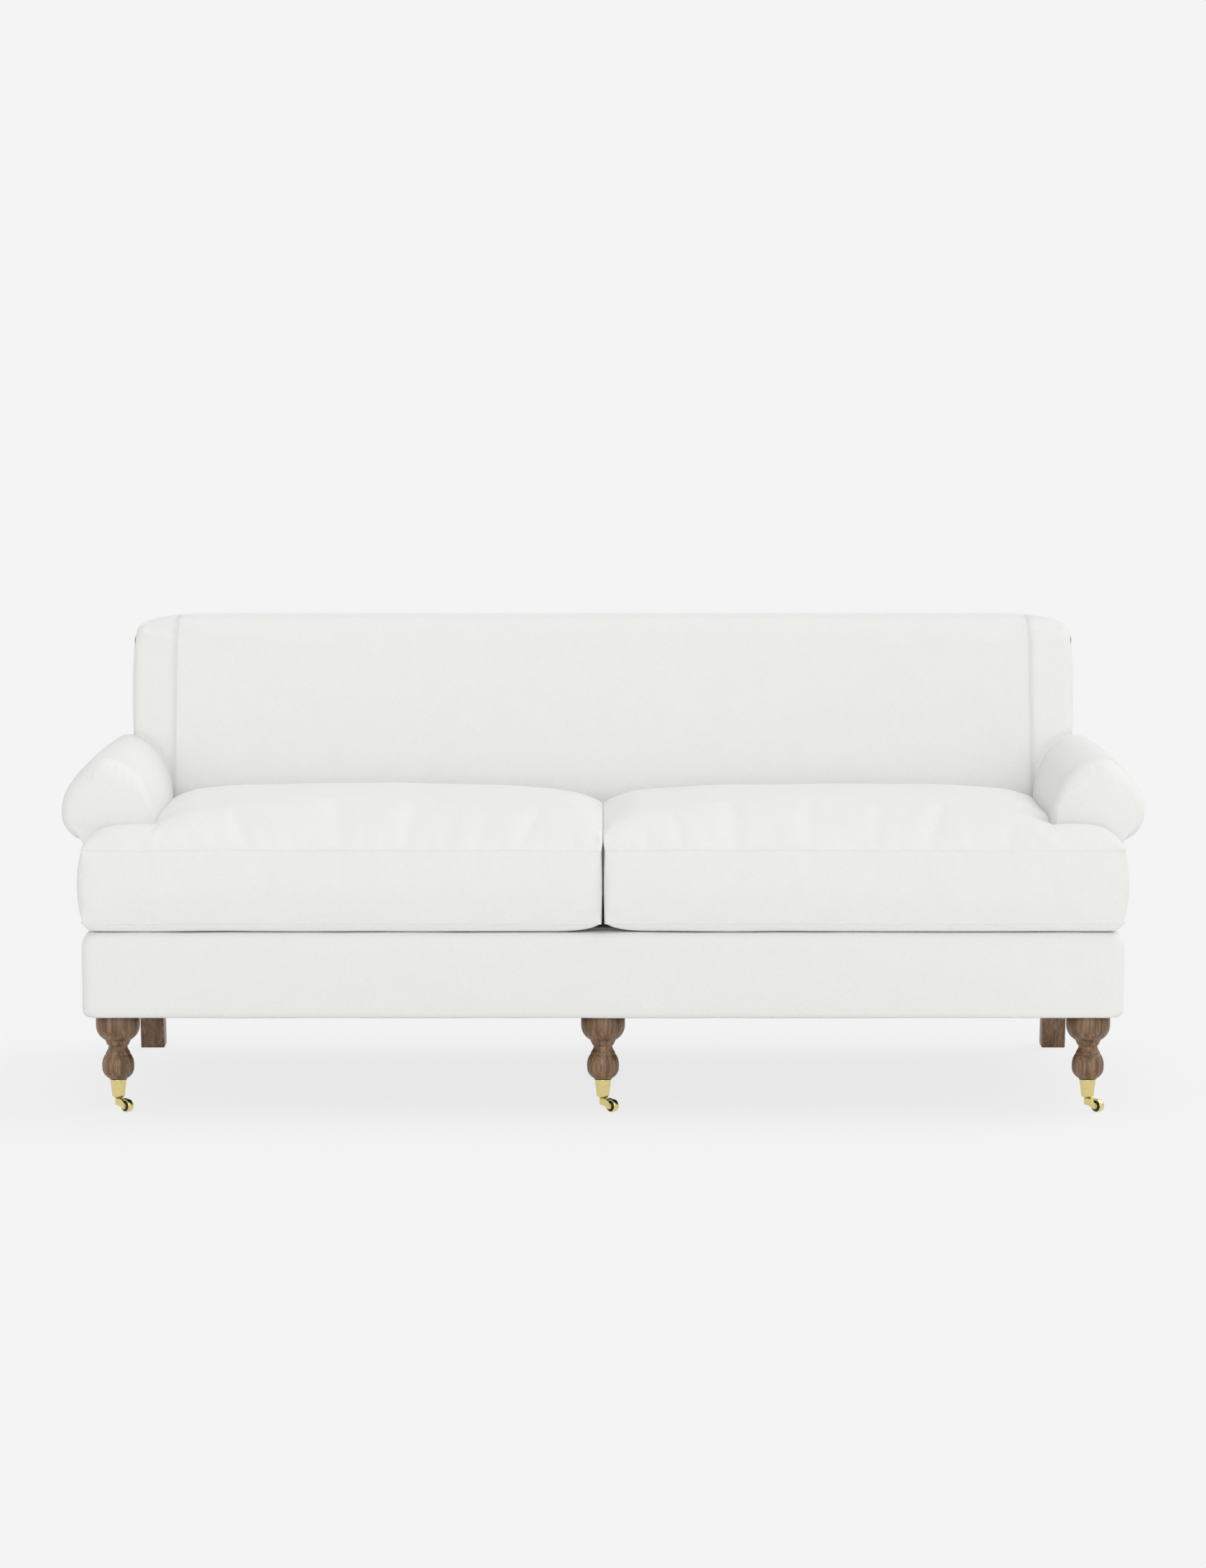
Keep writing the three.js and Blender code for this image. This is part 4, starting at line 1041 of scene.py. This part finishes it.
def side_patch(x, section):
    """The side of the back between its seams, full above the arm."""
    patch = filled(section, back_ring(x, section))
    across = hump(patch.shape[1])[None]
    share = (patch[..., 2] - back_side_foot) / (back_top - back_top_round - back_side_foot)
    up = np.sin(np.pi * np.clip(share, 0, 1))
    up = np.clip(up, 0, 1) ** np.where(share < 0.5, 1, 0.5)
    patch[..., 0] += math.copysign(back_side_dome, x) * np.sqrt(np.clip(across, 0, 1)) * up
    return patch


def crease_back(obj):
    """Draws the face of the back in along the line where it meets the arms."""
    inside, over = arm_section(bulge=roll_bulge)[:2]
    co = co_of(obj)
    x, y, z = co.T
    away = nearest(np.column_stack([np.abs(x), z]), np.concatenate([inside, over[1:]]))
    near = bell(away, back_crease_reach) * smooth((z - deck_top - boxing_height) / crease_fade)
    near *= np.abs(y - front - back_face(z)) < back_face_round
    co[:, 1] += back_crease_depth * near
    set_co(obj, co)


def add_back():
    beside = seat_half - fit
    half = [(x, back_section(x, pad_bottom)) for x in (*np.arange(0.008, beside - 0.004, 0.016), beside)]
    ease = np.sin(angles(0, 86, 14))
    outer = [beside + fit, *(beside + 0.006 + (back_seam_half - beside - 0.006) * ease)]
    half += [(x, back_section(x, roll_bottom)) for x in outer]
    half.append((back_seam_half - seam_depth / 2, back_section(back_seam_half, roll_bottom, seam_depth)))
    half.append((back_seam_half + seam_depth, back_section(back_seam_half, roll_bottom, 2 * seam_depth)))
    rings = [back_ring(-x, section) for x, section in reversed(half)]
    rings += [back_ring(x, section) for x, section in half]
    shell = Shell()
    shell.strip(np.array(rings))
    for sign in (-1, 1):
        patch = side_patch(sign * half[-1][0], half[-1][1])
        shell.grid(patch, patch[..., (1, 2)])
    pad = shell.build("back_cover", linen)
    crease_back(pad)
    x, y, z = co_of(pad).T
    behind = y > back_high[1] - back_hold_reach + (z - back_top) * back_hold_slope
    hold(pad, (z < roll_bottom) | behind | (np.abs(x) > back_seam_half - back_face_ease / 3))
    return pad


# Base

def wrap_path(half, depth, radius=0.0, steps=150):
    """A line in plan from the left arm round the front to the right arm."""
    x, y = half - radius, depth + radius
    ends, sides = (arm_front - front - fit, y), steps // 12
    left = resampled([(-x - radius, end) for end in ends], sides)
    right = resampled([(x + radius, end) for end in reversed(ends)], sides)
    return np.concatenate([
        left[:-1], arc(-x, y, radius, radius, 180, 270, 9)[:-1],
        resampled([(-x, depth), (x, depth)], steps)[:-1], arc(x, y, radius, radius, 270, 360, 9)[:-1], right])


def add_border():
    """The front border: over the deck's edge, down the front and under the rail."""
    inner_half = base_half - side_padding
    lid = deck_top - 2 * fit
    lip = wrap_path(inner_half - 4 * fit, border_lip)
    edge = wrap_path(base_half - brow_side, brow_front, border_corner)
    face = wrap_path(base_half, 0, border_corner)
    inner = wrap_path(inner_half, front_padding)
    levels = [(lip, deck_low[2] + fit), (lip, lid)]
    levels += [(lip + (edge - lip) * share, lid) for share in (0.25, 0.5, 0.75)]

    def rounding(side, depth, height, bottom, turn):
        for angle in turn:
            share = 1 - math.cos(angle)
            path = wrap_path(base_half - side * share, depth * share, border_corner)
            levels.append((path, bottom + height * (1 - math.sin(angle))))

    low = base_bottom + hem_height
    rounding(brow_side, brow_front, -brow_height, deck_top, angles(90, 0, 9))
    levels += [(face, z) for z in np.linspace(deck_top - brow_height, low, 12)[1:-1]]
    rounding(hem_side, hem_front, hem_height, base_bottom, angles(0, 90, 9))
    levels += [(inner, z) for z in np.linspace(base_bottom, deck_low[2], 8)]
    levels.append(levels[0])
    rings = np.array([np.column_stack([path[:, 0], path[:, 1] + front, np.full(len(path), z)])
                      for path, z in levels])
    shell = Shell()
    shell.grid(rings, plane(run_of(rings[12]), run_of(rings[:, rings.shape[1] // 2])))
    obj = shell.build("front_border_cover", linen)
    close_ends(obj)
    soften(obj, border_unevenness, border_uneven_run, 3)
    return obj


def close_ends(obj):
    with edited(obj.data) as work:
        bmesh.ops.holes_fill(work, edges=[e for e in work.edges if e.is_boundary], sides=0)
        bmesh.ops.recalc_face_normals(work, faces=work.faces)


def add_outside_arm(name, sign):
    """The outside arm: a padded panel from under the roll to the bottom edge."""
    inner, top = board_high[0] + fit, roll_bottom
    side, height = hem_side, hem_height
    bottom = arc(base_half - side, base_bottom + height, side, height, -90, 0, 9)
    corner = arc(base_half - panel_edge, top - panel_edge, panel_edge, panel_edge, 0, 90, 7)
    outer = [[(inner, base_bottom)], bottom, resampled([bottom[-1], corner[0]], 22)[1:-1], corner]
    plain = [corner[-1], (inner, top), (inner, base_bottom)]
    lip = [corner[-1], (panel_low[0], top), (panel_low[0], top - panel_lip), (inner, top - panel_lip),
           (inner, base_bottom)]
    lip_share = (arm_rear - tail_depth - arm_front) / (rear_face - outside_skin - arm_front)
    rings = []
    for share, inward in [(share, plain) for share in eased(0, lip_share, 0.03, 0.2)] + [
            (share, lip) for share in eased(lip_share + fit, 1, 0.03, 0.2)]:
        outline = np.concatenate([*outer, resampled(inward, 30)[1:]])
        rear = outside_depth(outline[:, 1]) - outside_skin - fit
        depth = arm_front - front + (rear - arm_front + front) * share
        bulge = panel_bulge * math.sin(math.pi * share) ** 0.5
        up = np.clip((outline[:, 1] - base_bottom) / (top - base_bottom), 0, 1)
        push = np.where(outline[:, 0] > base_half - 0.6 * side, bulge * np.sin(np.pi * up), 0)
        rings.append(np.column_stack([outline[:, 0] + push, depth + front, outline[:, 1]]))
    shell = Shell()
    shell.strip(np.array(rings))
    obj = shell.build(name, linen, sign)
    close_ends(obj)
    return obj


def add_outside_back():
    """The outside back: a thin padded panel, narrower above the arms."""
    upper, foot, corner = back_seam_half - outside_inset, hem_height, outside_corner
    low = np.linspace(base_bottom, base_bottom + foot, 8)
    wide = np.linspace(base_bottom + foot, roll_bottom, 24)[1:]
    narrow = np.linspace(roll_bottom + fit, rear_top - corner, 24)
    turn = angles(0, 90, 9)[1:]
    heights = np.concatenate([low, wide, narrow, rear_top - corner + corner * np.sin(turn)])
    share = 1 - (low - base_bottom) / foot
    halves = np.concatenate([
        base_half - hem_side * (1 - np.sqrt(1 - share ** 2)), np.full(len(wide), base_half),
        np.full(len(narrow), upper), upper - corner + corner * np.cos(turn)])
    across = eased(-1, 1, 0.016, 0.25)[None, :]
    x = halves[:, None] * across
    z = np.repeat(heights[:, None], x.shape[1], axis=1)
    depth = outside_depth(z) + front
    rise = np.sin(np.pi * np.clip((z - base_bottom) / (rear_top - base_bottom), 0, 1))
    puff = outside_puff * (np.sqrt(np.clip(rise, 0, 1)) * np.sqrt(np.clip(1 - across ** 8, 0, 1)) - 1)
    sheets = [np.stack([x, y, z], axis=-1) for y in (depth + puff, depth - outside_skin)]
    shell = Shell()
    for sheet in sheets:
        shell.grid(sheet, sheet[..., (0, 2)])
    shell.walls(*sheets, 2)
    return shell.build("outside_back_cover", linen)


def slab(name, widths, depths, heights, material, step=0.03):
    """A thin flat piece whose half width changes with depth."""
    across = eased(-1, 1, step, 0.2)[None, :]
    x = np.array(widths)[:, None] * across
    y = np.repeat(np.array(depths)[:, None], x.shape[1], axis=1)
    sheets = [np.stack([x, y, np.full_like(x, z)], axis=-1) for z in heights]
    shell = Shell()
    for sheet in sheets:
        shell.grid(sheet, sheet[..., :2])
    shell.walls(*sheets)
    return shell.build(name, material)


def add_deck():
    depths = [*np.linspace(deck_low[1], arm_front - fit, 5), *np.linspace(arm_front, deck_high[1], 20)]
    widths = [deck_high[0]] * 5 + [seat_half - fit] * 20
    return slab("seat_deck_cover", widths, depths, (deck_low[2], deck_high[2] - fit), deck_cloth)


def add_dust_cover():
    depths = np.linspace(dust_low[1], dust_high[1], 26)
    widths = [dust_high[0]] * len(depths)
    return slab("dust_cover_cloth", widths, depths, (dust_low[2], dust_high[2]), dust_cloth)


# Legs and castors

cap_radius = 0.043
cap_edge = 0.0008
cap_straight = 0.020
cap_sweep = 0.036
ledge_radius = 0.027
turning_step = 0.0016
bead_radius = 0.0218
neck_radius = 0.0185
fillet_radius = 0.024
bulb_radius = 0.032
bulb_shoulder = 0.031
foot_radius = 0.0164
cup_top = 0.0162
cup_base = 0.0127
cup_toe = 0.0094
cup_wall = 0.002
cup_lip = 0.0005
cup_floor = 0.0033
wheel_radius = 0.013
wheel_half = 0.006
wheel_trail = 0.0255
tyre_thickness = 0.0024
castor_turn = math.radians(-45)
leg_shares = {
    "cap_sweep": 0.74, "ledge_sweep": 0.66, "ledge": 0.62, "collar": 0.58, "bead": 0.545,
    "neck_top": 0.52, "neck": 0.505, "neck_foot": 0.475, "fillet": 0.41, "bulb_top": 0.4,
    "bulb_sweep": 0.32, "bulb": 0.235, "bulb_shoulder": 0.15, "foot_sweep": 0.06,
}


def leg_profile():
    bottom = cup_high[2]
    height = base_bottom - bottom

    def at(member):
        return bottom + height * leg_shares[member]

    parts = [
        [(0, base_bottom), (cap_radius - cap_edge, base_bottom), (cap_radius, base_bottom - cap_edge)],
        bezier((cap_radius, base_bottom - cap_straight), (cap_radius, at("cap_sweep")),
               (cap_sweep, at("ledge_sweep")), (ledge_radius, at("ledge")), count=25),
        [(ledge_radius - turning_step, at("ledge") - turning_step),
         (bead_radius + turning_step, at("collar"))],
        bezier((bead_radius, at("bead")), (neck_radius, at("neck_top")), (neck_radius, at("neck")), count=11),
        bezier((neck_radius, at("neck")), (neck_radius, at("neck_foot")), (fillet_radius, at("fillet")),
               count=15)[1:],
        bezier((fillet_radius - turning_step / 2, at("bulb_top")), (bulb_radius, at("bulb_sweep")),
               (bulb_radius, at("bulb")), (bulb_shoulder, at("bulb_shoulder")), count=25),
        bezier((bulb_shoulder, at("bulb_shoulder")), (bulb_shoulder - turning_step, at("foot_sweep")),
               (foot_radius, bottom + fit), count=17)[1:],
        [(cup_top - cup_wall - fit, bottom + fit),
         (cup_base - cup_wall - fit, cup_low[2] + 2 * cup_floor),
         (0, cup_low[2] + 2 * cup_floor)],
    ]
    return np.concatenate(parts)


def cup_profile():
    bottom, top = cup_low[2], cup_high[2]
    hole = 0.0034
    lip = arc(cup_top, top - 2 * cup_lip, 2 * cup_lip, 2 * cup_lip, -90, 90, 9)
    return np.concatenate([
        [(hole, bottom), (cup_toe - 0.0006, bottom), (cup_toe, bottom + 0.0004)],
        bezier((cup_toe, bottom + 0.0004), (cup_base, bottom + cup_floor * 0.6),
               (cup_base, bottom + cup_floor * 1.4), count=9)[1:],
        [(cup_base + 0.4 * (cup_top - cup_base), bottom + 0.5 * (top - bottom))],
        [(cup_top, top - 4.4 * cup_lip)],
        lip,
        [(cup_top - cup_wall, top), (cup_base - cup_wall, bottom + cup_floor),
         (hole, bottom + cup_floor), (hole, bottom)],
    ])


def wheel_profiles():
    """The tyre and the core, round the axle."""
    half, radius = wheel_half, wheel_radius
    inner = radius - tyre_thickness
    crown_line = bezier((radius - 0.0010, -half), (radius + 0.0002, -half * 0.4),
                        (radius + 0.0002, half * 0.4), (radius - 0.0010, half), count=13)
    tyre = np.concatenate([[(inner, -half)], crown_line, [(inner, half), (inner, -half)]])
    rim, hub, bore = inner - fit, 0.0046, 0.0023
    face, end = half - 0.0005, half + fit
    core = [(bore, -end), (hub, -end), (hub, -face + 0.0012), (rim - 0.001, -face + 0.0012), (rim, -face),
            (rim, face), (rim - 0.001, face - 0.0012), (hub, face - 0.0012), (hub, end), (bore, end),
            (bore, -end)]
    return tyre, core


def add_front_leg(side, x):
    """A turned leg with its castor cup and wheel."""
    upright = Matrix.Translation((x, leg_y, 0))
    axle = (upright @ Matrix.Rotation(castor_turn, 4, "Z")
            @ Matrix.Translation((wheel_trail, 0, wheel_radius)) @ Matrix.Rotation(math.radians(90), 4, "X"))
    tyre, core = wheel_profiles()
    for part, profile, material, sides, place, body, slot, node in (
            ("turned_leg", leg_profile(), walnut, 96, upright, "sofa", "leg_wood", "front_leg"),
            ("cup", cup_profile(), brass, 72, upright, "sofa", "castor_brass", "castor_cup"),
            ("tyre", tyre, brass, 72, axle, f"{side}_wheel", "castor_brass", "wheel_tyre"),
            ("core", core, black_core, 72, axle, f"{side}_wheel", "wheel_core", "wheel_core")):
        obj = revolved(f"{side}_{part}", profile, material, sides, place)
        dress(obj, body, f"{side}_{node}")


def paint(obj, material):
    obj.data.materials.clear()
    obj.data.materials.append(material)


def add_rear_leg(side):
    """Square raked leg with softened edges."""
    obj = frame["nodes"][f"{side}_rear_leg"].copy()
    obj.data = obj.data.copy()
    obj.name = f"{side}_raked_leg"
    obj.parent = None
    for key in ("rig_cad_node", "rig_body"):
        if key in obj:
            del obj[key]
    scene.collection.objects.link(obj)
    paint(obj, walnut)
    with edited(obj.data) as work:
        bmesh.ops.remove_doubles(work, verts=work.verts, dist=weld)
        bmesh.ops.dissolve_limit(work, angle_limit=math.radians(2), verts=work.verts, edges=work.edges)
    edges = obj.modifiers.new("Edges", "BEVEL")
    edges.width = 0.0022
    edges.segments = 3
    edges.limit_method = "ANGLE"
    edges.angle_limit = math.radians(40)
    dress(obj, "sofa", f"{side}_rear_leg")


def finish_frame_nodes():
    """Hardwood, springs and the small metal parts keep their frame shapes."""
    wooden = ("rail", "block", "post", "upright", "stump", "board")
    for name, node in frame["nodes"].items():
        if name.startswith("seat_spring"):
            paint(node, steel)
        elif any(word in name for word in wooden):
            paint(node, oak)
        elif "horn" in name or "axle" in name:
            paint(node, brass)


add_camera()
add_world()
add_floor()
add_sun("side", 118, 48, 0.93)
add_sun("front", 0, 8, 1.12)

signs = {"right": 1, "left": -1}
cushions = {side: add_cushion(f"{side}_cushion", sign, 1.5 - sign / 2) for side, sign in signs.items()}
arms = {side: add_arm(f"{side}_arm_cover", sign) for side, sign in signs.items()}
back = add_back()
settle([(pieces[0], *cushion_blow) for pieces in cushions.values()]
       + [(arm, *arm_blow) for arm in arms.values()] + [(back, *back_blow)])

for side, (pad, *welts) in cushions.items():
    cover(pad, f"{side}_cushion", "upholstery", f"{side}_seat_cushion")
    for welt in welts:
        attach(welt, f"{side}_cushion")
for side, arm in arms.items():
    cover(arm, "sofa", "upholstery", f"{side}_arm_pad")
cover(back, "sofa", "upholstery", "back_pad")
cover(add_border(), "sofa", "upholstery", "front_border")
for side, sign in signs.items():
    panel = add_outside_arm(f"{side}_outside_arm_cover", sign)
    cover(panel, "sofa", "upholstery", f"{side}_outside_arm")
cover(add_outside_back(), "sofa", "upholstery", "outside_back")
cover(add_deck(), "sofa", "deck_cloth", "seat_deck")
dust = add_dust_cover()
dress(dust, "sofa", "dust_cover")

for side, x in (("left", -leg_x), ("centre", 0.0), ("right", leg_x)):
    add_front_leg(side, x)
add_rear_leg("right")
add_rear_leg("left")
finish_frame_nodes()

scene.view_settings.view_transform = "Standard"
